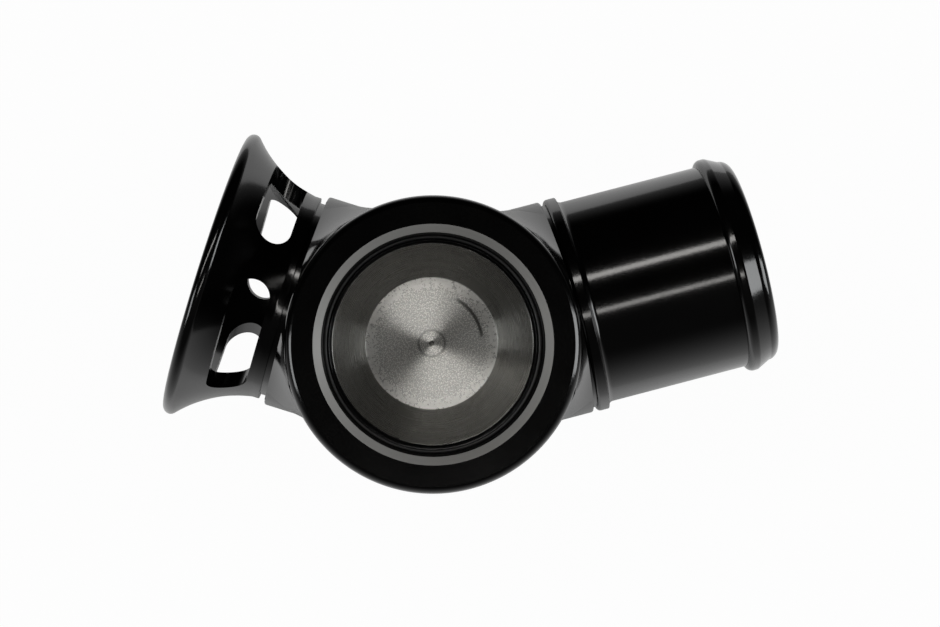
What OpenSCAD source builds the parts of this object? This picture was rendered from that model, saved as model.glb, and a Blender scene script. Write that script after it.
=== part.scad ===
// Twin-outlet piston blow-off valve. A turned barrel has its inlet mouth on top, a plain hose tail and a
// slotted trumpet on its sides, and a sprung piston between them. It stands on its screwed cap.
// Millimetres. Z is the valve's axis and +Z points out of the mouth. The hose tail leaves along +X, and the
// trumpet at trumpet_angle from it, seen from the inlet. Heights are measured down from the inlet face, and
// stand() then lifts every piece so that z = 0 is the face of the cap that the valve stands on.

/* [Barrel] */
// Outer diameter of the turned barrel
body_d = 52.4; // [50:0.2:60]
// Radius of the round on the barrel's inlet edge
body_edge_r = 1.7; // [1:0.1:3]
// Diameter of the bore that the piston runs in
bore_d = 38.1; // [36:0.1:38.4]

/* [Inlet] */
// Nominal diameter of the inlet's internal thread
inlet_thread_d = 39.4; // [39.2:0.1:42]
// Width of the lead-in chamfer at the mouth
inlet_chamfer = 1.4; // [0.5:0.1:2]
// Length of the threaded wall below the chamfer
inlet_thread_len = 3.7; // [2.6:0.1:6]
// How far the valve seat's lip reaches in from the piston bore
seat_lip_w = 1.2; // [0.6:0.05:1.6]
// Thickness of the valve seat's lip
seat_lip_t = 2; // [1.6:0.1:3]
// Chamfer on the inner edge of the seat's lip
seat_lip_chamfer = 0.5; // [0.2:0.1:0.8]
// Cross section of the O-ring that seals an inlet fitting
inlet_o_ring_t = 0.8; // [0.7:0.1:1]

/* [Ports] */
// Depth of the port axes below the inlet face
port_depth = 31; // [29:0.5:36]
// Angle from the hose tail's axis to the trumpet's axis
trumpet_angle = 148; // [120:1:180]
// Outer diameter of the port bosses
port_boss_d = 40.2; // [39.6:0.1:42]
// Radius of the round on the bosses' outer edges
boss_edge_r = 0.5; // [0.2:0.1:1]
// Distance from the valve's axis to the port faces
port_face = 26; // [25.5:0.5:30]
// Radius of the blend between a port boss and the barrel
port_fillet_r = 14.6; // [10:0.2:18]
// Diameter of the windows between the piston bore and the ports
port_window_d = 26; // [20:0.5:28]
// Diameter of the spigot that screws into each port
spigot_d = 35.6; // [34.6:0.1:36.4]
// Length of that spigot
spigot_len = 5.6; // [4.5:0.1:6]
// Bore of the trumpet's throat
throat_d = 31; // [28:0.5:31.5]
// Cross section of the O-rings on the port spigots
port_o_ring_t = 1.2; // [0.9:0.1:1.2]

/* [Hose tail] */
// Outer diameter of the hose tail
tail_d = 38.1; // [36:0.1:38.5]
// Bore of the hose tail
tail_bore_d = 31; // [28:0.5:31.5]
// Length of the hose tail from the port face
tail_len = 35.8; // [30:0.1:60]
// Diameter of the stop collar beside the port face
tail_collar_d = 40.4; // [40.4:0.1:43]
// Width of the stop collar
tail_collar_w = 2.2; // [1.6:0.1:4]
// Radius of the rounds on the collar's edges
tail_collar_edge_r = 0.7; // [0.3:0.1:0.8]
// Radius of the fillet between the collar and the tube
tail_fillet_r = 1.1; // [0.4:0.1:1.1]
// Diameter of the witness groove between collar and port face
tail_groove_d = 38.6; // [37:0.1:39.4]
// Width of that groove
tail_groove_w = 0.7; // [0.3:0.1:1]
// Diameter of the hose-retaining bead
tail_bead_d = 40.4; // [39.6:0.1:42]
// Distance from the tail's free end to the middle of the bead
tail_bead_inset = 4.8; // [4:0.1:8]
// Radius of the rounds on both sides of the bead
tail_bead_r = 1.5; // [1.5:0.1:3]
// Width of the cylindrical land on the bead's crest
tail_bead_land = 0.5; // [0.4:0.1:2]
// Slope at which the lead-in taper leaves the bead, in degrees
tail_taper = 22; // [15:1:40]
// Diameter at the end of the lead-in taper
tail_tip_d = 38; // [34.5:0.1:38.4]
// Radius of the round on the free end
tail_tip_r = 1.9; // [0.6:0.1:2]

/* [Trumpet] */
// Diameter of the trumpet's rim
trumpet_rim_d = 54; // [48:0.5:60]
// Length of the trumpet from the port face
trumpet_len = 17.5; // [16:0.5:26]
// Radius of the flare's outer curve
flare_outer_r = 22.5; // [20:0.5:40]
// Radius of the flare's inner curve
flare_inner_r = 26; // [20:0.5:40]
// Radius of the rim's rolled edge
trumpet_lip_r = 1.3; // [0.8:0.1:1.6]
// Slope of the flare at the rim, in degrees from the axis
trumpet_lip_slope = 53; // [40:1:65]
// Diameter of the land behind the slots
trumpet_collar_d = 38.8; // [38:0.1:40]
// Width of that land
trumpet_collar_w = 1.2; // [0.8:0.1:2]
// Diameter of the groove beside the port face
trumpet_groove_d = 37; // [36.4:0.1:38]
// Width of that groove
trumpet_groove_w = 1.2; // [0.8:0.1:2]
// Number of slots around the flare
slot_count = 4; // [3:1:6]
// Width of a slot along the axis
slot_w = 6.8; // [4:0.1:8]
// Distance from the port face to the middle of the slots
slot_pos = 7.4; // [6.6:0.1:9]
// Angle of a slot from end to end
slot_angle = 71; // [40:1:76]
// Angle from straight up to the middle of the first rib
rib_angle = 14.5; // [0:0.5:45]

/* [Piston] */
// Travel of the piston from shut to fully open
piston_travel = 17; // [10:0.5:20]
// Radial running clearance of the piston in its bore
running_gap = 0.05; // [0.02:0.01:0.1]
// Width of the rim between the dish and the piston's side
piston_rim_w = 1.2; // [1:0.1:2]
// Diameter of the dish's flat floor
dish_floor_d = 23.9; // [16:0.1:28]
// Depth of the dish below the piston's rim
dish_depth = 10.8; // [6:0.2:13]
// Diameter of the turning centre left in the dish's floor
dish_pip_d = 1; // [0.6:0.1:2]
// Thickness of the dish's floor
piston_floor_t = 4; // [3:0.2:6]
// Inner diameter of the piston's skirt
skirt_bore_d = 31.2; // [29:0.2:31.6]
// Length of the guide under the floor that centres the spring
spring_guide_len = 2.4; // [1.6:0.2:4]
// Length of skirt below the port windows
skirt_overlap = 4.2; // [4:0.1:6]
// Width of the seal grooves
seal_w = 1.8; // [1.6:0.1:2.4]
// Distance from the piston's rim to the front seal groove
front_seal_pos = 3; // [2.4:0.1:4]
// Distance from the skirt's end to the rear seal groove
rear_seal_pos = 1.4; // [1:0.1:1.8]
// Thickness of the slipper rings
slipper_t = 0.8; // [0.6:0.1:1]
// Cross section of the O-rings under the slipper rings
energiser_t = 1.4; // [1.2:0.1:1.5]

/* [Spring] */
// Outer diameter of the coil
spring_d = 25; // [20:0.5:27]
// Diameter of the wire
spring_wire_d = 2.4; // [1.6:0.1:2.6]
// Number of turns
spring_turns = 7; // [5:0.5:8]
// Thickness of the shim under the spring
shim_t = 1; // [0.5:0.1:2]

/* [Cap] */
// Thickness of the cap's flange
cap_t = 10.5; // [10:0.5:14]
// Length of the cap's spigot in the piston bore
cap_spigot_len = 4; // [3.4:0.1:6]
// Clearance left between the open piston and the cap
stop_gap = 0.6; // [0.3:0.1:1]
// Depth of the spring's pocket below the cap joint
spring_pocket = 1.5; // [1:0.1:3]
// Chamfer on the cap's edges and the barrel's lower edge
cap_chamfer = 0.7; // [0.3:0.1:1.5]
// Cross section of the cap's O-ring
cap_o_ring_t = 1.5; // [1.2:0.1:1.8]
// Number of cap screws
screw_count = 4; // [3:1:6]
// Thread diameter of the cap screws
screw_d = 3; // [3:0.5:4]
// Length of the cap screws under the head
screw_len = 12; // [11:1:16]

/* [Vacuum nipple] */
// Outer diameter of the nipple's hose stem
nipple_d = 5; // [4:0.5:6]
// Bore of the nipple
nipple_bore_d = 2.4; // [1.5:0.1:3]
// Length of the hose stem
nipple_stem_len = 14; // [10:1:22]
// Diameter of the bead at the end of the stem
nipple_bead_d = 6; // [5.2:0.2:7.6]
// Width of the cylindrical land on that bead's crest
nipple_bead_land = 0.6; // [0.4:0.1:1.5]
// Width across the flats of the nipple's hexagon
nipple_hex_af = 9; // [8.5:0.5:9.5]
// Thickness of the hexagon
nipple_hex_t = 4; // [3:0.5:6]
// Thread diameter of the nipple
nipple_thread_d = 6; // [5:0.5:6]
// Length of the nipple's thread
nipple_thread_len = 7; // [5:0.5:7.5]
// Thickness of the sealing washer
nipple_washer_t = 1; // [0.6:0.1:1.5]

/* [Hidden] */
$fn = 96;
// Facets of small round sections
ring_fn = 32;
// Facets of the trumpet's large arcs
flare_fn = 180;

BLACK_ANODISE = "#17181a";
BARE_ALUMINIUM = "#b7b8ba";
RUBBER = "#232323";
SLIPPER = "#d9d6cc";
SPRING_STEEL = "#84888c";
SCREW_STEEL = "#3a3b3d";
BRASS = "#b59a55";
COPPER = "#b0714a";

// Fit between screwed or seated pieces that don't move
seat_gap = 0.05;
// Gap each side of a ring in its groove
ring_gap = 0.03;
// Extra width of a groove over its ring
groove_play = 0.2;
// Overlap of cutting solids past the face they cut
eps = 0.5;
// How far a port blend sinks into the faces it joins, so that they cross and don't just touch
blend_bite = 0.2;
// Reach of a port blend's root past its corner, and of its crest inside its round, as shares of its radius
blend_root = 1.2;
blend_crest = 0.9;
// Angles round a port boss, from straight up, at the start, middle and end of each stretch of its blend
blend_stretches = [[122, 90, 58], [62, 42, 22], [158, 138, 118]];
// How far the small fillets of turned sections sink into their faces
fillet_bite = 0.03;
// Difference between a slot's half width and the radius of its ends
slot_relief = 0.02;
// Room past the end of a port spigot or a nipple in its hole
end_room = 0.2;
// Chamfer on the end of the spring's guide
guide_chamfer = 0.5;
// Room past the tip of a cap screw
screw_tip_room = 1;
// Radial play of screws, screw heads, shim and spring in the holes round them
hole_play = 0.2;
// Land between the inlet's thread and its O-ring groove
inlet_land = 0.25;
// Room round a collar in its spot face
spot_room = 0.6;
// How far the screw heads lie below the face that the valve stands on
screw_sink = 0.3;
// How far the screw circle lies inside the middle of the barrel's wall
screw_inset = 0.6;
// Depth of the flat seat that is cut into the cap's side for the nipple
nipple_flat = 0.8;
// Height of the nipple's axis above the middle of the cap's flange
nipple_rise = 0.2;
// Radial opening of the air passage round the nipple's bore
passage_room = 0.4;

body_r = body_d / 2;
bore_r = bore_d / 2;
thread_r = inlet_thread_d / 2;
thread_floor_z = -(inlet_chamfer + inlet_thread_len);
seat_z = thread_floor_z - seat_lip_t;
lip_r = bore_r - seat_lip_w;
port_z = -port_depth;
boss_r = port_boss_d / 2;
spigot_r = spigot_d / 2;
socket_r = spigot_r + seat_gap;
socket_len = spigot_len + end_room;
reach_boss = boss_r + port_fillet_r - blend_bite;
reach_body = body_r + port_fillet_r - blend_bite;

piston_r = bore_r - running_gap;
skirt_end_z = port_z - port_window_d / 2 - skirt_overlap;
piston_floor_z = seat_z - dish_depth - piston_floor_t;
joint_z = skirt_end_z - piston_travel - stop_gap - cap_spigot_len;
cap_base_z = joint_z - cap_t;
pocket_z = joint_z - spring_pocket;
spring_base_z = pocket_z + shim_t;
spring_len = piston_floor_z - spring_base_z;
// Rise of the spring's closed end turns, and of its open turns between them
closed_pitch = spring_wire_d + ring_gap;
open_pitch = (spring_len - spring_wire_d - 2 * closed_pitch) / (spring_turns - 2);

collar_r = tail_collar_d / 2;
spot_r = max(collar_r, boss_r) + spot_room;
nipple_z = joint_z - cap_t / 2 + nipple_rise;
nipple_seat = body_r - nipple_flat;
nipple_hex_d = nipple_hex_af / cos(30);
screw_circle_r = (bore_r + body_r) / 2 - screw_inset;
screw_head_r = screw_d * 0.875;
screw_head_t = screw_d;
screw_head_z = cap_base_z + screw_head_t + screw_sink;
screw_hole_len = screw_head_z + screw_len + screw_tip_room - joint_z;

front_groove_z = seat_z - front_seal_pos - seal_w;
rear_groove_z = skirt_end_z + rear_seal_pos;
seal_root_r = piston_r - slipper_t - energiser_t - 2 * ring_gap;

// Lifts a piece so that the valve stands on z = 0
module stand() {
    translate([0, 0, -cap_base_z])
        children();
}

// Places a turned piece on a port: its own z axis runs outwards along the port, from the valve's axis
module on_port(angle) {
    translate([0, 0, port_z])
        rotate([0, 0, angle])
            rotate([0, 90, 0])
                children();
}

// Round ring of a given mean radius and section
module o_ring(mean_r, section) {
    rotate_extrude()
        translate([mean_r, 0])
            circle(d = section, $fn = ring_fn);
}

// Plain tube between two heights
module tube(outer_r, inner_r, z_low, z_high) {
    translate([0, 0, z_low])
        difference() {
            cylinder(r = outer_r, h = z_high - z_low);
            translate([0, 0, -eps])
                cylinder(r = inner_r, h = z_high - z_low + 2 * eps);
        }
}

// Turns a section's shape over, for a corner that faces down its axis (side -1) and not up (side 1)
module facing(side) {
    mirror([0, side < 0 ? 1 : 0, 0])
        children();
}

// Cutter that rounds the outer corner of a turned section
module corner_cut(corner, r, side = 1) {
    translate(corner)
        facing(side)
            difference() {
                translate([-r, -r])
                    square(r + eps);
                translate([-r, -r])
                    circle(r = r);
            }
}

// Fillet in the inner corner of a turned section, between a tube and a shoulder
module corner_fillet(corner, r, side = 1) {
    translate(corner)
        facing(side)
            difference() {
                translate([-eps, -eps])
                    square(r - fillet_bite + eps);
                translate([r - fillet_bite, r - fillet_bite])
                    circle(r = r);
            }
}

// Hose bead in the section of a turned piece: two rounds with a cylindrical land between their crests
module bead_section(middle, r, land) {
    for (side = [-1, 1])
        translate(middle + [0, side * land / 2])
            circle(r = r);
    translate(middle - [0, land / 2])
        square([r, land]);
}

// Centre of the arc of radius r from p to q that bows towards the axis
function arc_centre(p, q, r) =
    let (mid = (p + q) / 2, half = norm(q - p) / 2, along = (q - p) / norm(q - p))
    mid + sqrt(r * r - half * half) * [along[1], -along[0]];

// Outline of the barrel: flat inlet face, rounded inlet edge, chamfered lower edge
module barrel() {
    rotate_extrude()
        difference() {
            polygon([
                [0, 0],
                [body_r, 0],
                [body_r, joint_z + cap_chamfer],
                [body_r - cap_chamfer, joint_z],
                [0, joint_z]
            ]);
            corner_cut([body_r, 0], body_edge_r);
        }
}

// Centre of a ball that touches the barrel and the boss, at an angle round the boss from straight up
function ball_centre(angle) =
    let (across = reach_boss * sin(angle))
    [sqrt(reach_body * reach_body - across * across), across, reach_boss * cos(angle)];

// Centre of the circle through three points in space, from the first of them
function circle_centre(ab, ac) =
    let (n = cross(ab, ac))
    (cross(n, ab) * (ac * ac) + cross(ac, n) * (ab * ab)) / (2 * n * n);

// One stretch of the blend between a port boss and the barrel. The ball that touches both rolls along a path
// that is close to a circle over such a stretch, so the blend is a piece of a ring about that circle's axis.
module ring_blend(stretch) {
    a = ball_centre(stretch[0]);
    b = ball_centre(stretch[1]);
    c = ball_centre(stretch[2]);
    shift = circle_centre(b - a, c - a);
    ring_r = norm(shift);
    centre = a + shift;
    first = -shift / ring_r;
    normal = cross(b - a, c - a) / norm(cross(b - a, c - a));
    second = cross(normal, first);
    span = atan2((c - centre) * second, (c - centre) * first);
    outward = (b - centre) / ring_r;
    to_body = -[b[0], b[1], 0] / norm([b[0], b[1]]);
    to_boss = -[0, b[1], b[2]] / norm([b[1], b[2]]);
    body_dir = [to_body * outward, to_body * normal];
    boss_dir = [to_boss * outward, to_boss * normal];
    corner = (body_dir + boss_dir) / (1 + body_dir * boss_dir);
    root = port_fillet_r * blend_root;
    crest = port_fillet_r * blend_crest;
    multmatrix([for (i = [0 : 2]) [first[i], second[i], normal[i], centre[i]]])
        rotate_extrude(start = 0, angle = span)
            translate([ring_r, 0])
                difference() {
                    polygon([
                        crest * body_dir,
                        root * body_dir,
                        root * corner,
                        root * boss_dir,
                        crest * boss_dir
                    ]);
                    circle(r = port_fillet_r);
                }
}

// Blend along one side of a port boss, in stretches that overlap at their ends
module neck_blend() {
    for (stretch = blend_stretches)
        ring_blend(stretch);
}

// Boss of one port with its blends, cut off at the port's face and below the barrel's edge round
module port_neck() {
    on_port(0)
        rotate_extrude()
            difference() {
                square([boss_r, port_face + eps]);
                corner_cut([boss_r, port_face], boss_edge_r);
            }
    translate([0, 0, port_z])
        intersection() {
            for (side = [0, 1])
                mirror([0, side, 0])
                    neck_blend();
            translate([0, -body_d, -reach_boss])
                cube([port_face, 2 * body_d, reach_boss - port_z - body_edge_r]);
        }
}

// Everything that is bored from the inlet side and the cap side
module barrel_bores() {
    rotate_extrude()
        polygon([
            [0, eps],
            [thread_r + inlet_chamfer + eps, eps],
            [thread_r, -inlet_chamfer],
            [thread_r, thread_floor_z],
            [lip_r + seat_lip_chamfer, thread_floor_z],
            [lip_r, thread_floor_z - seat_lip_chamfer],
            [lip_r, seat_z],
            [bore_r, seat_z],
            [bore_r, joint_z - eps],
            [0, joint_z - eps]
        ]);
    inlet_groove();
}

// Face groove for the inlet fitting's O-ring
module inlet_groove() {
    groove_w = inlet_o_ring_t + 2 * ring_gap;
    outer_r = thread_r - inlet_land;
    tube(outer_r, outer_r - groove_w, thread_floor_z - inlet_o_ring_t, thread_floor_z + eps);
}

// Window, threaded socket and spot-faced surround of one port
module port_bores() {
    on_port(0) {
        cylinder(d = port_window_d, h = port_face);
        translate([0, 0, port_face - socket_len])
            cylinder(r = socket_r, h = socket_len + eps);
        translate([0, 0, port_face])
            cylinder(r = spot_r, h = body_d);
    }
}

// Repeats its children at each cap screw
module at_cap_screws() {
    for (i = [0 : screw_count - 1])
        rotate([0, 0, (i + 0.5) * 360 / screw_count])
            translate([screw_circle_r, 0, 0])
                children();
}

module valve_body() {
    color(BLACK_ANODISE)
        difference() {
            union() {
                barrel();
                port_neck();
                rotate([0, 0, trumpet_angle])
                    port_neck();
            }
            barrel_bores();
            port_bores();
            rotate([0, 0, trumpet_angle])
                port_bores();
            at_cap_screws()
                translate([0, 0, joint_z - eps])
                    cylinder(d = screw_d + 2 * seat_gap, h = screw_hole_len + eps);
        }
}

module inlet_o_ring() {
    mean_r = thread_r - inlet_land - ring_gap - inlet_o_ring_t / 2;
    color(RUBBER)
        translate([0, 0, thread_floor_z - inlet_o_ring_t / 2])
            o_ring(mean_r, inlet_o_ring_t - ring_gap);
}

// Groove in a port spigot, drawn in the section of a turned piece
module spigot_groove() {
    groove_w = port_o_ring_t + groove_play;
    depth = port_o_ring_t - seat_gap + 2 * ring_gap;
    translate([spigot_r - depth, port_face - spigot_len / 2 - groove_w / 2])
        square([depth + eps, groove_w]);
}

module spigot_o_ring() {
    on_port(0)
        translate([0, 0, port_face - spigot_len / 2])
            o_ring(socket_r - ring_gap - port_o_ring_t / 2, port_o_ring_t);
}

// Turned section of the hose tail: spigot, witness groove, collar, tube, bead, taper, round nose
module tail_section() {
    tail_r = tail_d / 2;
    tip_r = tail_tip_d / 2;
    nose_a = port_face + tail_len - tail_tip_r;
    groove_a = port_face + tail_groove_w;
    collar_a = groove_a + tail_collar_w;
    bead = [tail_bead_d / 2 - tail_bead_r, port_face + tail_len - tail_bead_inset];
    shoulder = bead + [0, tail_bead_land / 2];
    difference() {
        polygon([
            [0, port_face - spigot_len],
            [spigot_r, port_face - spigot_len],
            [spigot_r, port_face],
            [tail_groove_d / 2, port_face],
            [tail_groove_d / 2, groove_a],
            [collar_r, groove_a],
            [collar_r, collar_a],
            [tail_r, collar_a],
            [tail_r, bead[1]],
            shoulder + tail_bead_r * [cos(tail_taper), sin(tail_taper)],
            [tip_r, nose_a],
            [tip_r - tail_tip_r, port_face + tail_len],
            [0, port_face + tail_len]
        ]);
        corner_cut([collar_r, groove_a], tail_collar_edge_r, -1);
        corner_cut([collar_r, collar_a], tail_collar_edge_r);
        spigot_groove();
    }
    corner_fillet([tail_r, collar_a], tail_fillet_r);
    bead_section(bead, tail_bead_r, tail_bead_land);
    translate([tip_r - tail_tip_r, nose_a])
        circle(r = tail_tip_r);
}

module hose_tail() {
    color(BLACK_ANODISE)
        on_port(0)
            rotate_extrude()
                difference() {
                    tail_section();
                    translate([-tail_d, port_face - spigot_len - eps])
                        square([tail_d + tail_bore_d / 2, spigot_len + tail_len + 2 * eps]);
                }
}

module tail_o_ring() {
    color(RUBBER)
        spigot_o_ring();
}

// Turned section of the trumpet: spigot, groove, land, flare between two arcs, rolled rim
module trumpet_section() {
    bore = throat_d / 2;
    collar = trumpet_collar_d / 2;
    groove = trumpet_groove_d / 2;
    land_a = port_face + trumpet_groove_w;
    flare_a = land_a + trumpet_collar_w;
    lip = [trumpet_rim_d / 2 - trumpet_lip_r, port_face + trumpet_len - trumpet_lip_r];
    lip_out = trumpet_lip_r * [cos(trumpet_lip_slope), -sin(trumpet_lip_slope)];
    outer_end = lip + lip_out;
    inner_end = lip - lip_out;
    outer_start = [collar, flare_a];
    inner_start = [bore, port_face];
    outer_c = arc_centre(outer_start, outer_end, flare_outer_r);
    inner_c = arc_centre(inner_start, inner_end, flare_inner_r);
    difference() {
        polygon([
            [bore, port_face - spigot_len],
            [spigot_r, port_face - spigot_len],
            [spigot_r, port_face],
            [groove, port_face],
            [groove, land_a],
            [collar, land_a],
            outer_start,
            outer_end,
            inner_end,
            inner_start
        ]);
        translate(outer_c)
            circle(r = flare_outer_r, $fn = flare_fn);
        spigot_groove();
    }
    intersection() {
        translate(inner_c)
            circle(r = flare_inner_r, $fn = flare_fn);
        polygon([inner_start, inner_end, [inner_start[0], inner_end[1]]]);
    }
    translate(lip)
        circle(r = trumpet_lip_r, $fn = ring_fn);
}

// One slot through the flare, with round ends, measured from straight up
module trumpet_slot() {
    end_r = slot_w / 2;
    end_angle = end_r / (trumpet_collar_d / 2) * 180 / PI;
    run = slot_angle - 2 * end_angle;
    reach = trumpet_rim_d / 2;
    translate([0, 0, port_face + slot_pos]) {
        rotate_extrude(start = -run / 2, angle = run)
            translate([0, -end_r + slot_relief])
                square([reach, slot_w - 2 * slot_relief]);
        for (side = [-1, 1])
            rotate([0, 0, side * run / 2])
                rotate([0, 90, 0])
                    cylinder(r = end_r, h = reach);
    }
}

module trumpet() {
    pitch = 360 / slot_count;
    color(BLACK_ANODISE)
        rotate([0, 0, trumpet_angle])
            on_port(0)
                difference() {
                    rotate_extrude()
                        trumpet_section();
                    for (i = [0 : slot_count - 1])
                        rotate([0, 0, 180 + rib_angle + (i + 0.5) * pitch])
                            trumpet_slot();
                }
}

module trumpet_o_ring() {
    color(RUBBER)
        rotate([0, 0, trumpet_angle])
            spigot_o_ring();
}

module piston() {
    dish_r = piston_r - piston_rim_w;
    floor_z = seat_z - dish_depth;
    pip_r = dish_pip_d / 2;
    guide_r = spring_d / 2 - spring_wire_d - hole_play;
    guide_z = piston_floor_z - spring_guide_len;
    color(BARE_ALUMINIUM)
        rotate_extrude()
            difference() {
                polygon([
                    [0, floor_z - pip_r],
                    [pip_r, floor_z],
                    [dish_floor_d / 2, floor_z],
                    [dish_r, seat_z],
                    [piston_r, seat_z],
                    [piston_r, skirt_end_z],
                    [skirt_bore_d / 2, skirt_end_z],
                    [skirt_bore_d / 2, piston_floor_z],
                    [guide_r, piston_floor_z],
                    [guide_r, guide_z + guide_chamfer],
                    [guide_r - guide_chamfer, guide_z],
                    [0, guide_z]
                ]);
                for (z = [front_groove_z, rear_groove_z])
                    translate([seal_root_r, z])
                        square([bore_r - seal_root_r, seal_w]);
            }
}

// Slipper ring that rubs on the bore, with its groove's lower edge at z
module slipper_ring(z) {
    color(SLIPPER)
        tube(piston_r, piston_r - slipper_t, z + ring_gap, z + seal_w - ring_gap);
}

// O-ring that presses a slipper ring outwards
module energiser(z) {
    color(RUBBER)
        translate([0, 0, z + seal_w / 2])
            o_ring(seal_root_r + ring_gap + energiser_t / 2, energiser_t);
}

module front_slipper_ring() {
    slipper_ring(front_groove_z);
}

module front_energiser() {
    energiser(front_groove_z);
}

module rear_slipper_ring() {
    slipper_ring(rear_groove_z);
}

module rear_energiser() {
    energiser(rear_groove_z);
}

// Height of the wire's centre after a number of turns
function coil_height(turn) =
    let (open = min(max(turn - 1, 0), spring_turns - 2))
    spring_wire_d / 2 + open * open_pitch + (turn - open) * closed_pitch;

module piston_spring() {
    sides = 10;
    rings = round(spring_turns * 24);
    coil_r = (spring_d - spring_wire_d) / 2;
    wire_r = spring_wire_d / 2;
    points = [
        for (i = [0 : rings])
            let (turn = i / rings * spring_turns)
            for (k = [0 : sides - 1])
                let (r = coil_r + wire_r * cos(k * 360 / sides))
                [
                    r * cos(turn * 360),
                    r * sin(turn * 360),
                    coil_height(turn) + wire_r * sin(k * 360 / sides)
                ]
    ];
    walls = [
        for (i = [0 : rings - 1])
            for (k = [0 : sides - 1])
                let (a = i * sides + k, b = i * sides + (k + 1) % sides)
                for (half = [[a, a + sides, b + sides], [a, b + sides, b]])
                    half
    ];
    ends = [
        [for (k = [0 : sides - 1]) k],
        [for (k = [sides - 1 : -1 : 0]) rings * sides + k]
    ];
    color(SPRING_STEEL)
        translate([0, 0, spring_base_z])
            polyhedron(points, concat(walls, ends));
}

module spring_shim() {
    color(SPRING_STEEL)
        tube(spring_d / 2 + hole_play, spring_d / 2 - 2 * spring_wire_d, pocket_z, spring_base_z);
}

// Radial hole for the nipple, with its flat seat and the passage up to the spring's pocket
module nipple_port() {
    passage_r = nipple_bore_d / 2 + passage_room;
    translate([0, 0, nipple_z])
        rotate([0, 90, 0]) {
            cylinder(r = passage_r, h = nipple_seat);
            translate([0, 0, nipple_seat - nipple_thread_len - end_room])
                cylinder(d = nipple_thread_d + 2 * seat_gap, h = nipple_thread_len + end_room + eps);
            translate([0, 0, nipple_seat])
                cylinder(r = nipple_hex_d / 2 + spot_room, h = body_r);
        }
    translate([0, 0, nipple_z])
        cylinder(r = passage_r, h = pocket_z - nipple_z + eps);
}

module cap() {
    spigot_top = joint_z + cap_spigot_len;
    spigot = bore_r - seat_gap;
    pocket_r = spring_d / 2 + 2 * hole_play;
    groove_w = cap_o_ring_t + groove_play;
    groove_r = bore_r - cap_o_ring_t - 2 * ring_gap;
    groove_z = joint_z + (cap_spigot_len - groove_w) / 2;
    color(BLACK_ANODISE)
        difference() {
            rotate_extrude()
                difference() {
                    polygon([
                        [0, cap_base_z],
                        [body_r - cap_chamfer, cap_base_z],
                        [body_r, cap_base_z + cap_chamfer],
                        [body_r, joint_z - cap_chamfer],
                        [body_r - cap_chamfer, joint_z],
                        [spigot, joint_z],
                        [spigot, spigot_top],
                        [pocket_r, spigot_top],
                        [pocket_r, pocket_z],
                        [0, pocket_z]
                    ]);
                    translate([groove_r, groove_z])
                        square([cap_o_ring_t + eps, groove_w]);
                }
            nipple_port();
            at_cap_screws() {
                translate([0, 0, cap_base_z - eps])
                    cylinder(r = screw_d / 2 + hole_play, h = cap_t + 2 * eps);
                translate([0, 0, cap_base_z - eps])
                    cylinder(r = screw_head_r + hole_play, h = screw_head_z - cap_base_z + eps);
            }
        }
}

module cap_o_ring() {
    color(RUBBER)
        translate([0, 0, joint_z + cap_spigot_len / 2])
            o_ring(bore_r - ring_gap - cap_o_ring_t / 2, cap_o_ring_t);
}

// Socket-head screw with its head down and its head's bearing face at z = 0
module cap_screw() {
    socket_af = screw_d * 0.75;
    difference() {
        union() {
            translate([0, 0, -screw_head_t])
                cylinder(r = screw_head_r, h = screw_head_t);
            translate([0, 0, -eps])
                cylinder(d = screw_d, h = screw_len + eps);
        }
        translate([0, 0, -screw_head_t - eps])
            cylinder(d = socket_af / cos(30), h = screw_head_t / 2 + eps, $fn = 6);
    }
}

module cap_screws() {
    color(SCREW_STEEL)
        at_cap_screws()
            translate([0, 0, screw_head_z])
                cap_screw();
}

module vacuum_nipple() {
    hex_x = nipple_seat + nipple_washer_t;
    stem_x = hex_x + nipple_hex_t;
    stem_r = nipple_d / 2;
    bead_r = (nipple_bead_d - nipple_d) / 2;
    bead_x = stem_x + nipple_stem_len - 2 * bead_r - nipple_bead_land / 2;
    color(BRASS)
        translate([0, 0, nipple_z])
            rotate([0, 90, 0])
                difference() {
                    union() {
                        translate([0, 0, nipple_seat - nipple_thread_len])
                            cylinder(d = nipple_thread_d, h = nipple_thread_len + nipple_washer_t + eps);
                        translate([0, 0, hex_x])
                            rotate([0, 0, 30])
                                cylinder(d = nipple_hex_d, h = nipple_hex_t, $fn = 6);
                        translate([0, 0, stem_x - eps])
                            cylinder(r = stem_r, h = nipple_stem_len + eps);
                        rotate_extrude()
                            bead_section([stem_r, bead_x], bead_r, nipple_bead_land, $fn = ring_fn);
                    }
                    translate([0, 0, nipple_seat - nipple_thread_len - eps])
                        cylinder(d = nipple_bore_d, h = body_d);
                }
}

module nipple_washer() {
    hole_r = nipple_thread_d / 2 + seat_gap;
    color(COPPER)
        translate([0, 0, nipple_z])
            rotate([0, 90, 0])
                tube(nipple_hex_af / 2, hole_r, nipple_seat, nipple_seat + nipple_washer_t);
}

stand() valve_body();
stand() inlet_o_ring();
stand() hose_tail();
stand() tail_o_ring();
stand() trumpet();
stand() trumpet_o_ring();
stand() piston();
stand() front_slipper_ring();
stand() front_energiser();
stand() rear_slipper_ring();
stand() rear_energiser();
stand() piston_spring();
stand() spring_shim();
stand() cap();
stand() cap_o_ring();
stand() cap_screws();
stand() vacuum_nipple();
stand() nipple_washer();
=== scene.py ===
"""Looks of a twin-outlet piston blow off valve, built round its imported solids.

Sizes are in metres, or in millimetres where a class or function says so. Places are in the part's own frame:
z = 0 is the face that the valve stands on, +Z leaves the inlet mouth and +X runs out along the hose tail.
"""

from __future__ import annotations

import logging
import math
from collections.abc import Callable, Sequence
from dataclasses import dataclass, field
from enum import Enum
from typing import Any

import bmesh
import bpy
from mathutils import Matrix, Vector

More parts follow.
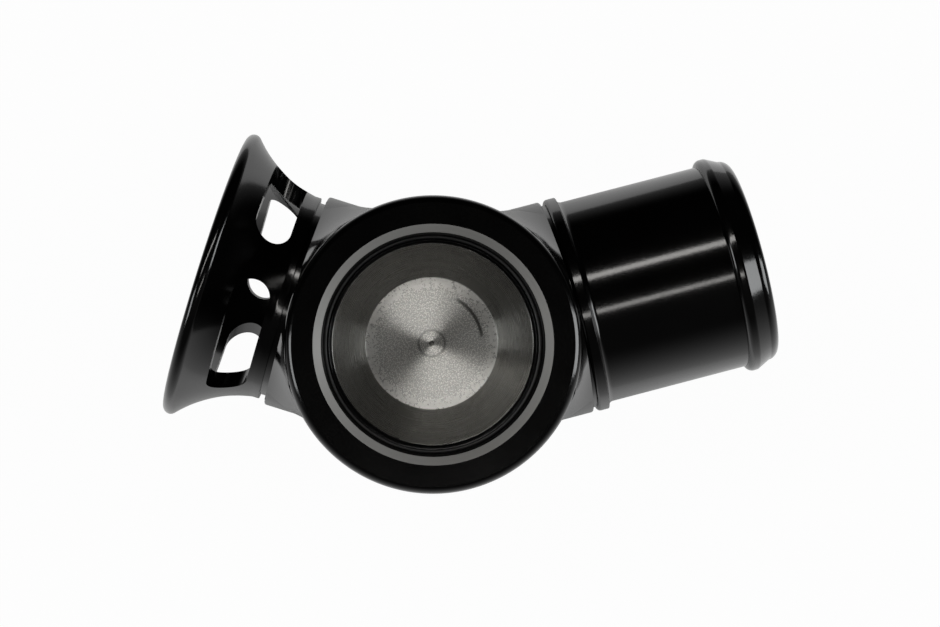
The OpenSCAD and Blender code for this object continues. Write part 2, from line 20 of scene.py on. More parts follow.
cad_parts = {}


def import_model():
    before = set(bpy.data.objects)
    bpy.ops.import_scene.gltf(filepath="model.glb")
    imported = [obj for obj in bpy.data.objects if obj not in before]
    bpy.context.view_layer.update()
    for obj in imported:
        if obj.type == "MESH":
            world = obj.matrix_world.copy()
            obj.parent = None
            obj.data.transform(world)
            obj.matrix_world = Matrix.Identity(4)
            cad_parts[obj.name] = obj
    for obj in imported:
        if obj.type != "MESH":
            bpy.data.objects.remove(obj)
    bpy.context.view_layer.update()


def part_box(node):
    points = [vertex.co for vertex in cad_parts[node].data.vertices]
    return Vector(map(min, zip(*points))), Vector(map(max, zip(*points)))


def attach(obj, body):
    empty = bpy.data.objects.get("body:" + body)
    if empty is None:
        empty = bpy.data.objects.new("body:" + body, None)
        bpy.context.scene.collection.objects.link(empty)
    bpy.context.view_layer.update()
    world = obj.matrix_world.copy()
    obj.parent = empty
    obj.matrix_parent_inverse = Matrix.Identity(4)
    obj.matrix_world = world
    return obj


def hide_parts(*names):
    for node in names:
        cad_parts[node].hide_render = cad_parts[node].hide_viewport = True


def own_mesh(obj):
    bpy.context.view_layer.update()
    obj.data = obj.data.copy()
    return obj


Colour = tuple[float, float, float]

MM = 0.001
UP = Vector((0, 0, 1))
TAIL_WAY = Vector((1, 0, 0))
# Facets round a large turned piece, a seal, and a drilled hole or a screw
ROUND = 256
SEAL_ROUND = 192
DRILL_ROUND = 64
# How far a cutting tool runs past what it opens, in millimetres
PAST = 1.0
# Share of a full turn that spreads a highlight across turning marks
ACROSS_MARKS = 0.25
LOG = logging.getLogger("blow_off_valve")


class Cut(Enum):
    """What a second solid does to a first one."""

    JOIN = "UNION"
    TAKE = "DIFFERENCE"
    KEEP = "INTERSECT"


class Edge(float, Enum):
    """Radii of the rounds on the pieces' edges, in millimetres."""

    KEEN = 0.05
    SHARP = 0.08
    CRISP = 0.1
    CLEAN = 0.12
    BROKEN = 0.15
    SOFT = 0.2
    EASY = 0.3
    BLUNT = 0.4
    FULL = 0.5


class Hang(Enum):
    """How a lamp hangs: with its length along the hose tail's direction, or facing the valve."""

    ALONG = "along"
    FACING = "facing"


class Body(Enum):
    """Bodies that pieces ride on."""

    VALVE = "valve"
    PISTON = "piston"


class Slot(Enum):
    """Material slots of the part's record."""

    BLACK = "black_anodised"
    BARE = "turned_aluminium"
    RUBBER = "rubber"
    SLIPPER = "slipper_plastic"
    SPRING = "spring_steel"
    SCREW = "black_steel"
    BRASS = "brass"
    COPPER = "copper"


@dataclass(frozen=True)
class Spindle:
    """An axis that pieces are turned about.

    Attributes:
        origin: A point on the axis, where places along it are counted from.
        along: The axis's direction.
        zero: The direction from which angles about the axis are counted.
    """

    origin: Vector
    along: Vector
    zero: Vector

    def matrix(self) -> Matrix:
        """Works out the matrix from the spindle's own frame, with its axis on z, to the part's frame.

        Returns:
            The matrix.
        """
        side = self.along.cross(self.zero)
        turn = Matrix((self.zero, side, self.along)).transposed().to_4x4()
        return Matrix.Translation(self.origin) @ turn

    def upright(self) -> Matrix:
        """Returns the turn from a frame with x along the spindle and z straight up to the part's frame."""
        return Matrix((self.along, UP.cross(self.along), UP)).transposed()


@dataclass(frozen=True)
class Layout:
    """Places that the sub-assemblies share.

    Attributes:
        inlet: Height of the inlet face.
        port_depth: Depth of the port axes below it.
        port_face: Distance from the valve's axis to the port faces.
        trumpet_angle: Angle from the hose tail to the trumpet, seen from the inlet.
        nipple_depth: Depth of the nipple's axis below the inlet face.
        screws: How many screws hold the cap.
        screw_circle: Radius of the circle that they stand on.
    """

    inlet: float
    port_depth: float = 31 * MM
    port_face: float = 26 * MM
    trumpet_angle: float = math.radians(148)
    nipple_depth: float = 74.85 * MM
    screws: int = 4
    screw_circle: float = 22.025 * MM

    def valve_axis(self) -> Spindle:
        """Returns the valve's axis, with places counted up from the inlet face."""
        return Spindle(UP * self.inlet, UP, TAIL_WAY)

    def face_mm(self) -> float:
        """Returns the distance from the valve's axis to the port faces, in millimetres."""
        return self.port_face / MM

    def port_axis(self, angle: float) -> Spindle:
        """Returns the axis of a port.

        Args:
            angle: Angle from the hose tail's direction.

        Returns:
            The axis, with places counted outwards and angles from straight up.
        """
        along = Vector((math.cos(angle), math.sin(angle), 0))
        return Spindle(UP * (self.inlet - self.port_depth), along, UP)

    def nipple_axis(self) -> Spindle:
        """Returns the nipple's axis, with places counted outwards from the valve's axis."""
        return Spindle(UP * (self.inlet - self.nipple_depth), TAIL_WAY, UP)

    def screw_axes(self) -> list[Spindle]:
        """Works out the axes of the cap screws.

        Returns:
            The axes, with places counted up from the inlet face.
        """
        angles = [math.tau * (i + 0.5) / self.screws for i in range(self.screws)]
        feet = [Vector((math.cos(t), math.sin(t), 0)) * self.screw_circle for t in angles]
        return [Spindle(foot + UP * self.inlet, UP, TAIL_WAY) for foot in feet]


@dataclass(frozen=True)
class Knot:
    """One corner of a turned section.

    Attributes:
        r: Distance from the axis.
        a: Place along the axis.
        ease: Radius of the round at this corner.
    """

    r: float
    a: float
    ease: float = 0.0


def slerp(first: Vector, last: Vector, share: float) -> Vector:
    """Returns the vector at a share of the way round from one vector to another of the same length."""
    angle = first.angle(last)
    return (first * math.sin((1 - share) * angle) + last * math.sin(share * angle)) / math.sin(angle)


def eased(knots: Sequence[Knot], steps: int = 6) -> list[Vector]:
    """Turns the corners of a section into its outline.

    Args:
        knots: Corners in order, the last joined to the first. Sizes are in millimetres.
        steps: Stretches in each round.

    Returns:
        Points of the closed outline, in metres.
    """
    places = [Vector((k.r, k.a)) for k in knots]
    outline: list[Vector] = []
    for i, knot in enumerate(knots):
        here = places[i]
        if not knot.ease:
            outline.append(here * MM)
            continue
        back = (places[i - 1] - here).normalized()
        on = (places[(i + 1) % len(places)] - here).normalized()
        half = back.angle(on) / 2
        centre = here + (back + on).normalized() * knot.ease / math.sin(half)
        reach = knot.ease / math.tan(half)
        start, end = here + back * reach - centre, here + on * reach - centre
        outline += [(centre + slerp(start, end, s / steps)) * MM for s in range(steps + 1)]
    return outline


def arc(centre: Vector, radius: float, start: float, end: float, steps: int) -> list[Knot]:
    """Returns corners along an arc of a section, with angles in degrees from straight outwards."""
    angles = [math.radians(start + (end - start) * s / steps) for s in range(steps + 1)]
    return [Knot(centre.x + radius * math.cos(t), centre.y + radius * math.sin(t)) for t in angles]


def band(inner: float, outer: float, low: float, high: float, ease: float) -> list[Vector]:
    """Works out the outline of a flat ring's section.

    Args:
        inner: Radius of its hole, in millimetres.
        outer: Its outer radius, in millimetres.
        low: Place of its lower face along the axis, in millimetres.
        high: Place of its upper face.
        ease: Radius of the rounds at its corners.

    Returns:
        Points of the closed outline, in metres.
    """
    corners = ((inner, low), (outer, low), (outer, high), (inner, high))
    return eased([Knot(r, a, ease) for r, a in corners], 3)


def new_object(name: str, mesh: bpy.types.Mesh) -> bpy.types.Object:
    """Puts a mesh in the scene.

    Args:
        name: Name of the object.
        mesh: Its mesh.

    Returns:
        The object, at the origin.
    """
    piece = bpy.data.objects.new(name, mesh)
    bpy.context.scene.collection.objects.link(piece)
    return piece


def from_bmesh(name: str, shape: bmesh.types.BMesh) -> bpy.types.Object:
    """Closes a working mesh and makes an object of it.

    Args:
        name: Name of the object.
        shape: The working mesh, which is freed.

    Returns:
        The object, with doubles merged and its faces pointing outwards.
    """
    bmesh.ops.remove_doubles(shape, verts=shape.verts, dist=1e-7)
    bmesh.ops.dissolve_degenerate(shape, edges=shape.edges, dist=1e-8)
    bmesh.ops.recalc_face_normals(shape, faces=shape.faces)
    mesh = bpy.data.meshes.new(name)
    shape.to_mesh(mesh)
    shape.free()
    return new_object(name, mesh)


def skin(name: str, rows: Sequence[Sequence[Vector]], closed_rows: bool) -> bpy.types.Object:
    """Skins rows of points into a closed shell.

    Args:
        name: Name of the object.
        rows: Closed loops of points, with as many points in each.
        closed_rows: Whether the last row joins the first; if not, the first and last are capped.

    Returns:
        The object.
    """
    shape = bmesh.new()
    loops = [[shape.verts.new(p) for p in row] for row in rows]
    pairs = list(zip(loops, loops[1:] + loops[:1])) if closed_rows else list(zip(loops, loops[1:]))
    for low, high in pairs:
        for i in range(len(low)):
            j = (i + 1) % len(low)
            shape.faces.new((low[i], low[j], high[j], high[i]))
    if not closed_rows:
        shape.faces.new(loops[0])
        shape.faces.new(loops[-1])
    return from_bmesh(name, shape)


def turned(name: str, outline: Sequence[Vector], spindle: Spindle, segments: int = ROUND) -> bpy.types.Object:
    """Turns a closed section about a spindle.

    Args:
        name: Name of the object.
        outline: Points of the section, as distance from the axis and place along it.
        spindle: The axis.
        segments: Facets round the axis.

    Returns:
        The object.
    """
    place = spindle.matrix()
    angles = [math.tau * i / segments for i in range(segments)]
    rows = [[place @ Vector((p.x * math.cos(t), p.x * math.sin(t), p.y)) for p in outline] for t in angles]
    return skin(name, rows, closed_rows=True)


def rod(radius: float, start: float, end: float, spindle: Spindle) -> bpy.types.Object:
    """Turns a plain rod.

    Args:
        radius: Its radius, in millimetres.
        start: Place of its lower end along the axis, in millimetres.
        end: Place of its upper end.
        spindle: Its axis.

    Returns:
        The rod.
    """
    knots = [Knot(0, start), Knot(radius, start), Knot(radius, end), Knot(0, end)]
    return turned("rod", eased(knots), spindle, DRILL_ROUND)


def hexagon(flats: float, start: float, end: float, spindle: Spindle) -> bpy.types.Object:
    """Makes a hexagonal rod.

    Args:
        flats: Width across its flats, in millimetres.
        start: Place of its lower end along the axis, in millimetres.
        end: Place of its upper end.
        spindle: Its axis.

    Returns:
        The rod.
    """
    reach = flats / math.sqrt(3) * MM
    corners = [math.radians(30 + 60 * i) for i in range(6)]
    place = spindle.matrix()
    rows = []
    for a in (start, end):
        rows.append([place @ Vector((reach * math.cos(t), reach * math.sin(t), a * MM)) for t in corners])
    return skin("hexagon", rows, closed_rows=False)


def carve(piece: bpy.types.Object, tool: bpy.types.Object, cut: Cut) -> bpy.types.Object:
    """Joins, takes or keeps a second solid, and deletes it.

    Args:
        piece: The solid that changes.
        tool: The second solid.
        cut: What it does.

    Returns:
        The first solid.
    """
    step = piece.modifiers.new("carve", "BOOLEAN")
    step.operation = cut.value
    step.solver = "MANIFOLD"
    step.object = tool
    settle(piece)
    bpy.data.objects.remove(tool)
    return piece


def settle(piece: bpy.types.Object) -> None:
    """Makes the result of a piece's modifiers its plain mesh.

    Args:
        piece: The piece.
    """
    graph = bpy.context.evaluated_depsgraph_get()
    mesh = bpy.data.meshes.new_from_object(piece.evaluated_get(graph))
    piece.modifiers.clear()
    piece.data = mesh


def face_outwards(piece: bpy.types.Object) -> None:
    """Turns the faces of a piece outwards.

    Args:
        piece: The piece, whose mesh is closed.
    """
    shape = bmesh.new()
    shape.from_mesh(piece.data)
    bmesh.ops.recalc_face_normals(shape, faces=shape.faces)
    shape.to_mesh(piece.data)
    shape.free()


def polish(piece: bpy.types.Object, crease: float = 32.0) -> bpy.types.Object:
    """Shades a piece smooth, with creases and with normals that follow its large faces.

    Args:
        piece: The piece.
        crease: Angle in degrees above which an edge stays sharp.

    Returns:
        The piece.
    """
    piece.data.shade_smooth()
    piece.data.set_sharp_from_angle(angle=math.radians(crease))
    step = piece.modifiers.new("even normals", "WEIGHTED_NORMAL")
    step.keep_sharp = True
    settle(piece)
    return piece


class Wire:
    """A socket that Python's operators can do sums with."""

    def __init__(self, bench: Bench, socket: bpy.types.NodeSocket) -> None:
        """Keeps the socket and the bench that it is on."""
        self.bench = bench
        self.socket = socket

    def _sum(self, operation: str, *terms: Wire | float) -> Wire:
        """Adds one Math node over some terms."""
        return self.bench.add("ShaderNodeMath", {"operation": operation}, dict(enumerate(terms))).out()

    def __add__(self, other: Wire | float) -> Wire:
        """Returns self + other."""
        return self._sum("ADD", self, other)

    __radd__ = __add__

    def __sub__(self, other: Wire | float) -> Wire:
        """Returns self - other."""
        return self._sum("SUBTRACT", self, other)

    def __rsub__(self, other: float) -> Wire:
        """Returns other - self."""
        return self._sum("SUBTRACT", other, self)

    def __mul__(self, other: Wire | float) -> Wire:
        """Returns self * other."""
        return self._sum("MULTIPLY", self, other)

    __rmul__ = __mul__

    def __truediv__(self, other: Wire | float) -> Wire:
        """Returns self / other."""
        return self._sum("DIVIDE", self, other)

    def __rtruediv__(self, other: float) -> Wire:
        """Returns other / self."""
        return self._sum("DIVIDE", other, self)

    def sine(self) -> Wire:
        """Returns the sine of an angle in radians."""
        return self._sum("SINE", self)

    def cosine(self) -> Wire:
        """Returns the cosine of an angle in radians."""
        return self._sum("COSINE", self)

    def between(self, low: Wire | float, high: Wire | float) -> Wire:
        """Returns the value, held between two limits."""
        return self._sum("MINIMUM", self._sum("MAXIMUM", self, low), high)

    def ramp(self, low: float, high: float) -> Wire:
        """Returns 0 at low and 1 at high, eased between them."""
        inputs = {"Value": self, "From Min": low, "From Max": high}
        return self.bench.add("ShaderNodeMapRange", {"interpolation_type": "SMOOTHSTEP"}, inputs).out()

    def within(self, low: float, high: float, edge: float) -> Wire:
        """Returns 1 between two values and 0 outside them, with a soft edge."""
        return self.ramp(low - edge, low + edge) * (1.0 - self.ramp(high - edge, high + edge))


@dataclass
class Made:
    """A node that a bench has added."""

    bench: Bench
    node: bpy.types.Node

    def out(self, name: str | int = 0) -> Wire:
        """Returns one of the node's outputs."""
        return Wire(self.bench, self.node.outputs[name])


class Bench:
    """Adds nodes to one tree."""

    def __init__(self, tree: bpy.types.NodeTree) -> None:
        """Takes an empty node tree."""
        self.tree = tree
        tree.nodes.clear()

    def add(
        self,
        kind: str,
        settings: dict[str, Any] | None = None,
        inputs: dict[str | int, Any] | None = None,
    ) -> Made:
        """Adds a node.

        Args:
            kind: The node's type.
            settings: Values of the node's own properties.
            inputs: Values or wires for its sockets, by name or number.

        Returns:
            The node.
        """
        node = self.tree.nodes.new(kind)
        for key, value in (settings or {}).items():
            setattr(node, key, value)
        for key, value in (inputs or {}).items():
            if isinstance(value, Wire):
                self.tree.links.new(value.socket, node.inputs[key])
            else:
                node.inputs[key].default_value = value
        return Made(self, node)

    def vector(self, operation: str, *terms: Wire | Vector | Sequence[float]) -> Made:
        """Adds a Vector Math node over some terms."""
        return self.add("ShaderNodeVectorMath", {"operation": operation}, dict(enumerate(terms)))

    def place(self) -> Wire:
        """Returns the place on the object, in its own coordinates."""
        return self.add("ShaderNodeTexCoord").out("Object")

    def noise(self, scale: float, detail: float) -> Wire:
        """Returns noise from 0 to 1 over the object.

        Args:
            scale: Waves in a metre.
            detail: Finer layers on top of it.

        Returns:
            The noise.
        """
        inputs = {"Vector": self.place(), "Scale": scale, "Detail": detail}
        return self.add("ShaderNodeTexNoise", None, inputs).out()

    def rings(self, scale: float, spindle: Spindle, detail: float = 2.0) -> Wire:
        """Returns noise that is the same all the way round a spindle, as a turning tool leaves it.

        Args:
            scale: Waves in a metre.
            spindle: The axis that the piece was turned about.
            detail: Finer layers on top of it.

        Returns:
            The noise.
        """
        along, radius = self.polar(spindle)
        inputs = {"W": along + radius, "Scale": scale, "Detail": detail}
        return self.add("ShaderNodeTexNoise", {"noise_dimensions": "1D"}, inputs).out()

    def polar(self, spindle: Spindle) -> tuple[Wire, Wire]:
        """Works out where on a turned piece a point is.

        Args:
            spindle: The axis that the piece was turned about.

        Returns:
            The place along the axis and the distance from it.
        """
        offset = self.vector("SUBTRACT", self.place(), spindle.origin).out()
        along = self.vector("DOT_PRODUCT", offset, spindle.along).out("Value")
        inputs = {0: spindle.along, "Scale": along}
        axial = self.add("ShaderNodeVectorMath", {"operation": "SCALE"}, inputs).out()
        radius = self.vector("LENGTH", self.vector("SUBTRACT", offset, axial).out()).out("Value")
        return along, radius

    def colour(self, share: Wire, first: Sequence[float] | Wire, last: Sequence[float]) -> Wire:
        """Returns a colour at a share of the way from one to another."""
        inputs = {"Factor": share, 6: first if isinstance(first, Wire) else (*first, 1.0), 7: (*last, 1.0)}
        return self.add("ShaderNodeMix", {"data_type": "RGBA"}, inputs).out(2)

    def bump(self, height: Wire, depth: float) -> Wire:
        """Returns a normal from a height in shares of a depth."""
        inputs = {"Height": height, "Distance": depth, "Strength": 1.0}
        return self.add("ShaderNodeBump", None, inputs).out()


def new_material(name: str) -> tuple[bpy.types.Material, Bench]:
    """Makes an empty material.

    Args:
        name: Name of the material.

    Returns:
        The material and the bench for its nodes.
    """
    material = bpy.data.materials.new(name)
    material.use_nodes = True
    return material, Bench(material.node_tree)


class Recipe:
    """A tree of geometry nodes with named sizes that grows one piece."""

    def __init__(self, name: str) -> None:
        """Starts an empty tree.

        Args:
            name: Name of the tree and of the piece.
        """
        self.name = name
        self.tree = bpy.data.node_groups.new(name, "GeometryNodeTree")
        self.bench = Bench(self.tree)
        self.start = self.bench.add("NodeGroupInput")
        self.sizes: dict[str, float | int] = {}

    def size(self, name: str, value: float | int) -> Wire:
        """Adds a named input to the tree.

        Args:
            name: Name of the input.
            value: The value that the modifier gives it.

        Returns:
            The input's wire.
        """
        kind = "NodeSocketInt" if isinstance(value, int) else "NodeSocketFloat"
        socket = self.tree.interface.new_socket(name, in_out="INPUT", socket_type=kind)
        self.sizes[socket.identifier] = value
        return self.start.out(name)

    def helix(self, turns: Wire, radius: Wire, rise: Callable[[Wire], Wire], points: int) -> Wire:
        """Winds a curve round z.

        Args:
            turns: How many turns it has.
            radius: Its radius.
            rise: Gives the height after a number of turns.
            points: Points along the curve.

        Returns:
            The curve.
        """
        bench = self.bench
        line = bench.add("GeometryNodeCurvePrimitiveLine").out()
        path = bench.add("GeometryNodeResampleCurve", None, {"Curve": line, "Count": points}).out()
        turn = bench.add("GeometryNodeInputIndex").out() * turns / (points - 1.0)
        angle = turn * math.tau
        inputs = {"X": angle.cosine() * radius, "Y": angle.sine() * radius, "Z": rise(turn)}
        place = bench.add("ShaderNodeCombineXYZ", None, inputs).out()
        wound = bench.add("GeometryNodeSetPosition", None, {"Geometry": path, "Position": place}).out()
        return bench.add("GeometryNodeSetCurveNormal", {"mode": "Z_UP"}, {"Curve": wound}).out()

    def sweep(self, path: Wire, radius: Wire, sides: int) -> Wire:
        """Sweeps a regular section along a curve.

        Args:
            path: The curve.
            radius: Radius of the section's corners.
            sides: How many sides the section has.

        Returns:
            The mesh, with closed ends.
        """
        size = {"Resolution": sides, "Radius": radius}
        section = self.bench.add("GeometryNodeCurvePrimitiveCircle", None, size).out()
        inputs = {"Curve": path, "Profile Curve": section, "Fill Caps": True}
        return self.bench.add("GeometryNodeCurveToMesh", None, inputs).out()

    def ring_of(self, piece: bpy.types.Object, count: Wire, radius: Wire) -> Wire:
        """Sets copies of a piece on a circle round z, with the first half a step from x.

        Args:
            piece: The piece, built about z.
            count: How many copies.
            radius: Radius of the circle.

        Returns:
            The copies.
        """
        bench = self.bench
        circle = bench.add("GeometryNodeMeshCircle", None, {"Vertices": count, "Radius": radius}).out()
        turn = bench.add("ShaderNodeCombineXYZ", None, {"Z": math.pi / count}).out()
        points = bench.add("GeometryNodeTransform", None, {"Geometry": circle, "Rotation": turn}).out()
        shape = bench.add("GeometryNodeObjectInfo", None, {"Object": piece}).out("Geometry")
        return bench.add("GeometryNodeInstanceOnPoints", None, {"Points": points, "Instance": shape}).out()

    def grow(self, shape: Wire, material: bpy.types.Material) -> bpy.types.Object:
        """Ends the tree and makes a plain mesh of its result.

        Args:
            shape: What the tree has made.
            material: Its finish.

        Returns:
            The piece, with its faces pointing outwards.
        """
        self.tree.interface.new_socket("Geometry", in_out="OUTPUT", socket_type="NodeSocketGeometry")
        real = self.bench.add("GeometryNodeRealizeInstances", None, {0: shape}).out()
        inputs = {"Geometry": real, "Material": material}
        dressed = self.bench.add("GeometryNodeSetMaterial", None, inputs).out()
        self.bench.add("NodeGroupOutput", None, {0: dressed})
        piece = new_object(self.name, bpy.data.meshes.new(self.name))
        step = piece.modifiers.new(self.name, "NODES")
        step.node_group = self.tree
        for key, value in self.sizes.items():
            step[key] = value
        settle(piece)
        face_outwards(piece)
        return piece


@dataclass(frozen=True)
class Finish:
    """What the finishes of the valve's surfaces have in common."""

    def inputs(self, bench: Bench) -> dict[str, Any]:
        """Works out what goes into the shader's sockets.

        Args:
            bench: Bench of the material's nodes.

        Returns:
            Values or wires, by the socket's name.
        """
        raise NotImplementedError

    def material(self, name: str) -> bpy.types.Material:
        """Makes the material of this finish.

        Args:
            name: Name of the material.

        Returns:
            The material.
        """
        made, bench = new_material(name)
        shader = bench.add("ShaderNodeBsdfPrincipled", None, self.inputs(bench)).out()
        bench.add("ShaderNodeOutputMaterial", None, {"Surface": shader})
        return made


@dataclass(frozen=True)
class BlackAnodise(Finish):
    """Gloss black anodised aluminium, with the fine grain of the coat and faint turning marks.

    Attributes:
        spindle: The axis that the piece was turned about.
        dark: Darkest colour of the coat.
        light: Lightest colour of the coat.
        gloss: Roughness of the coat.
        grain: Waves of the coat's grain in a metre.
        marks: Waves of the turning marks in a metre.
        cloud: Waves of the coat's cloudiness in a metre.
        depth: Depth of the grain and the marks.
        index: Refractive index of the coat.
    """

    spindle: Spindle
    dark: Colour = (0.0006, 0.0006, 0.0007)
    light: Colour = (0.0022, 0.0021, 0.002)
    gloss: float = 0.125
    grain: float = 2800.0
    marks: float = 2600.0
    cloud: float = 120.0
    depth: float = 4e-6
    index: float = 1.5

    def inputs(self, bench: Bench) -> dict[str, Any]:
        """Works out what goes into the shader's sockets.

        Args:
            bench: Bench of the material's nodes.

        Returns:
            Values or wires, by the socket's name.
        """
        grain = bench.noise(self.grain, 1.0)
        marks = bench.rings(self.marks, self.spindle)
        cloud = bench.noise(self.cloud, 3.0)
        return {
            "Base Color": bench.colour(cloud, self.dark, self.light),
            "Roughness": (grain - 0.5) * 0.08 + (cloud - 0.5) * 0.04 + self.gloss,
            "IOR": self.index,
            "Normal": bench.bump(grain * 0.7 + marks * 0.3, self.depth),
        }


@dataclass(frozen=True)
class TurnedMetal(Finish):
    """Bare metal with turning marks, which spread its highlights across them.

    Attributes:
        spindle: The axis that the piece was turned about.
        dark: Colour in the marks.
        light: Colour between them.
        gloss: Roughness of the metal.
        spread: How much more the marks blur across than along.
        marks: Waves of the marks in a metre.
        per_band: How many marks make up a band.
        cloud: Waves of the metal's cloudiness in a metre.
        depth: Depth of the marks.
        bright: Share of clean metal, where the rest is a dull skin.
    """

    spindle: Spindle
    dark: Colour
    light: Colour
    gloss: float
    spread: float
    marks: float = 2800.0
    per_band: float = 9.0
    cloud: float = 160.0
    depth: float = 3e-6
    bright: float = 1.0

    def inputs(self, bench: Bench) -> dict[str, Any]:
        """Works out what goes into the shader's sockets.

        Args:
            bench: Bench of the material's nodes.

        Returns:
            Values or wires, by the socket's name.
        """
        marks = bench.rings(self.marks, self.spindle, 3.0)
        bands = bench.rings(self.marks / self.per_band, self.spindle)
        cloud = bench.noise(self.cloud, 4.0)
        return {
            "Base Color": bench.colour(marks * 0.45 + bands * 0.3 + cloud * 0.25, self.dark, self.light),
            "Metallic": self.bright,
            "Roughness": (marks - 0.5) * 0.14 + (cloud - 0.5) * 0.16 + self.gloss,
            "Anisotropic": self.spread,
            "Anisotropic Rotation": ACROSS_MARKS,
            "Normal": bench.bump(marks * 0.6 + bands * 0.4, self.depth),
        }


@dataclass(frozen=True)
class FacedDisc(Finish):
    """Faced floor of the piston's dish: grain, turning marks, a ring, chatter at its rim, a scratch, and
    painted shade over its centre pit.

    Attributes:
        spindle: The axis that the piece was turned about.
        floor_r: Radius of the floor.
        dark: Darkest colour of the grain.
        light: Lightest colour of the grain.
        wear_and_pit_shade: Colour of the ring and the scratch, which are wear, and of the painted shade over
            the centre pit.
        gloss: Roughness of the metal.
        bright: Share of clean metal, where the rest is a dull skin.
        spread: How much more the marks blur across than along.
        grain: Waves of the grain in a metre.
        marks: Waves of the turning marks in a metre.
        chatter: Waves of the chatter in a metre.
        depth: Depth of all the marks.
        patches: Levels of noise between which the chatter's patches fade in.
        rim: Radii where the chatter starts and is full, as shares of the floor's radius.
        ring: Radii of the ring round the centre, as such shares.
        ring_soft: Softness of the ring's edges, as such a share.
        pit_shade: Radii inside which the painted shade over the centre pit is full and outside which it ends,
            as such shares.
        scratch: Radii of the scratch, as such shares.
        scratch_soft: Softness of the scratch's edges, as such a share.
        scratch_way: Direction from the centre to the middle of the scratch.
        scratch_reach: Cosines of the angles from that middle where the scratch ends and is full.
    """

    spindle: Spindle
    floor_r: float
    dark: Colour = (0.5, 0.495, 0.47)
    light: Colour = (0.97, 0.965, 0.93)
    # Dark colour of the ring's and the scratch's wear, and of the painted shade over the centre pit
    wear_and_pit_shade: Colour = (0.07, 0.068, 0.064)
    gloss: float = 0.27
    bright: float = 0.68
    spread: float = 0.95
    grain: float = 4200.0
    marks: float = 3000.0
    chatter: float = 1300.0
    depth: float = 1.4e-5
    patches: tuple[float, float] = (0.35, 0.65)
    rim: tuple[float, float] = (0.8, 0.97)
    ring: tuple[float, float] = (0.183, 0.214)
    ring_soft: float = 0.007
    pit_shade: tuple[float, float] = (0.028, 0.046)
    scratch: tuple[float, float] = (0.742, 0.79)
    scratch_soft: float = 0.012
    scratch_way: tuple[float, float, float] = (0.942, 0.335, 0.0)
    scratch_reach: tuple[float, float] = (0.855, 0.925)

    def inputs(self, bench: Bench) -> dict[str, Any]:
        """Works out what goes into the shader's sockets.

        Args:
            bench: Bench of the material's nodes.

        Returns:
            Values or wires, by the socket's name.
        """
        radius = bench.polar(self.spindle)[1] / self.floor_r
        offset = bench.vector("SUBTRACT", bench.place(), self.spindle.origin).out()
        toward = bench.vector("DOT_PRODUCT", offset, self.scratch_way).out("Value") / self.floor_r / radius
        grain = bench.noise(self.grain, 2.0)
        marks = bench.rings(self.marks, self.spindle)
        chatter = bench.noise(self.chatter, 3.0).ramp(*self.patches) * radius.ramp(*self.rim)
        scratch = radius.within(*self.scratch, self.scratch_soft) * toward.ramp(*self.scratch_reach)
        ring = radius.within(*self.ring, self.ring_soft)
        # Painted shade: a dark spot painted over the centre pit, where the recess is in shade
        pit_shade = 1.0 - radius.ramp(*self.pit_shade)
        tone = grain * 0.5 + marks * 0.4 + chatter * 0.2 - 0.05
        # Real wear of the ring and the scratch, plus the painted shade over the centre pit
        wear_and_pit_shade = scratch * 0.95 + ring * 0.7 + pit_shade * 0.9
        return {
            "Base Color": bench.colour(wear_and_pit_shade, bench.colour(tone, self.dark, self.light), self.wear_and_pit_shade),
            "Metallic": self.bright,
            "Roughness": (grain - 0.5) * 0.14 + chatter * 0.08 + self.gloss,
            "Anisotropic": self.spread,
            "Anisotropic Rotation": ACROSS_MARKS,
            "Normal": bench.bump(grain * 0.2 + marks * 0.3 + chatter * 0.5 - wear_and_pit_shade, self.depth),
        }


@dataclass(frozen=True)
class Moulded(Finish):
    """Rubber or plastic with a fine skin.

    Attributes:
        dark: Darkest colour.
        light: Lightest colour.
        gloss: Roughness.
        grain: Waves of its skin in a metre.
        cloud: Waves of its cloudiness in a metre.
        depth: Depth of its skin.
    """

    dark: Colour
    light: Colour
    gloss: float
    grain: float = 3000.0
    cloud: float = 200.0
    depth: float = 6e-6

    def inputs(self, bench: Bench) -> dict[str, Any]:
        """Works out what goes into the shader's sockets.

        Args:
            bench: Bench of the material's nodes.

        Returns:
            Values or wires, by the socket's name.
        """
        grain = bench.noise(self.grain, 3.0)
        cloud = bench.noise(self.cloud, 3.0)
        return {
            "Base Color": bench.colour(cloud, self.dark, self.light),
            "Roughness": (grain - 0.5) * 0.2 + self.gloss,
            "Normal": bench.bump(grain, self.depth),
        }


@dataclass(frozen=True)
class DrawnSteel(Finish):
    """Drawn or blackened steel, with streaks and a clouded sheen.

    Attributes:
        dark: Darkest colour.
        light: Lightest colour.
        gloss: Roughness.
        streaks: Waves of its streaks in a metre.
        cloud: Waves of its sheen in a metre.
        depth: Depth of its streaks.
    """

    dark: Colour
    light: Colour
    gloss: float
    streaks: float = 900.0
    cloud: float = 140.0
    depth: float = 5e-6

    def inputs(self, bench: Bench) -> dict[str, Any]:
        """Works out what goes into the shader's sockets.

        Args:
            bench: Bench of the material's nodes.

        Returns:
            Values or wires, by the socket's name.
        """
        streaks = bench.noise(self.streaks, 4.0)
        cloud = bench.noise(self.cloud, 2.0)
        return {
            "Base Color": bench.colour(streaks * 0.6 + cloud * 0.4, self.dark, self.light),
            "Metallic": 1.0,
            "Roughness": (streaks - 0.5) * 0.25 + self.gloss,
            "Normal": bench.bump(streaks, self.depth),
        }


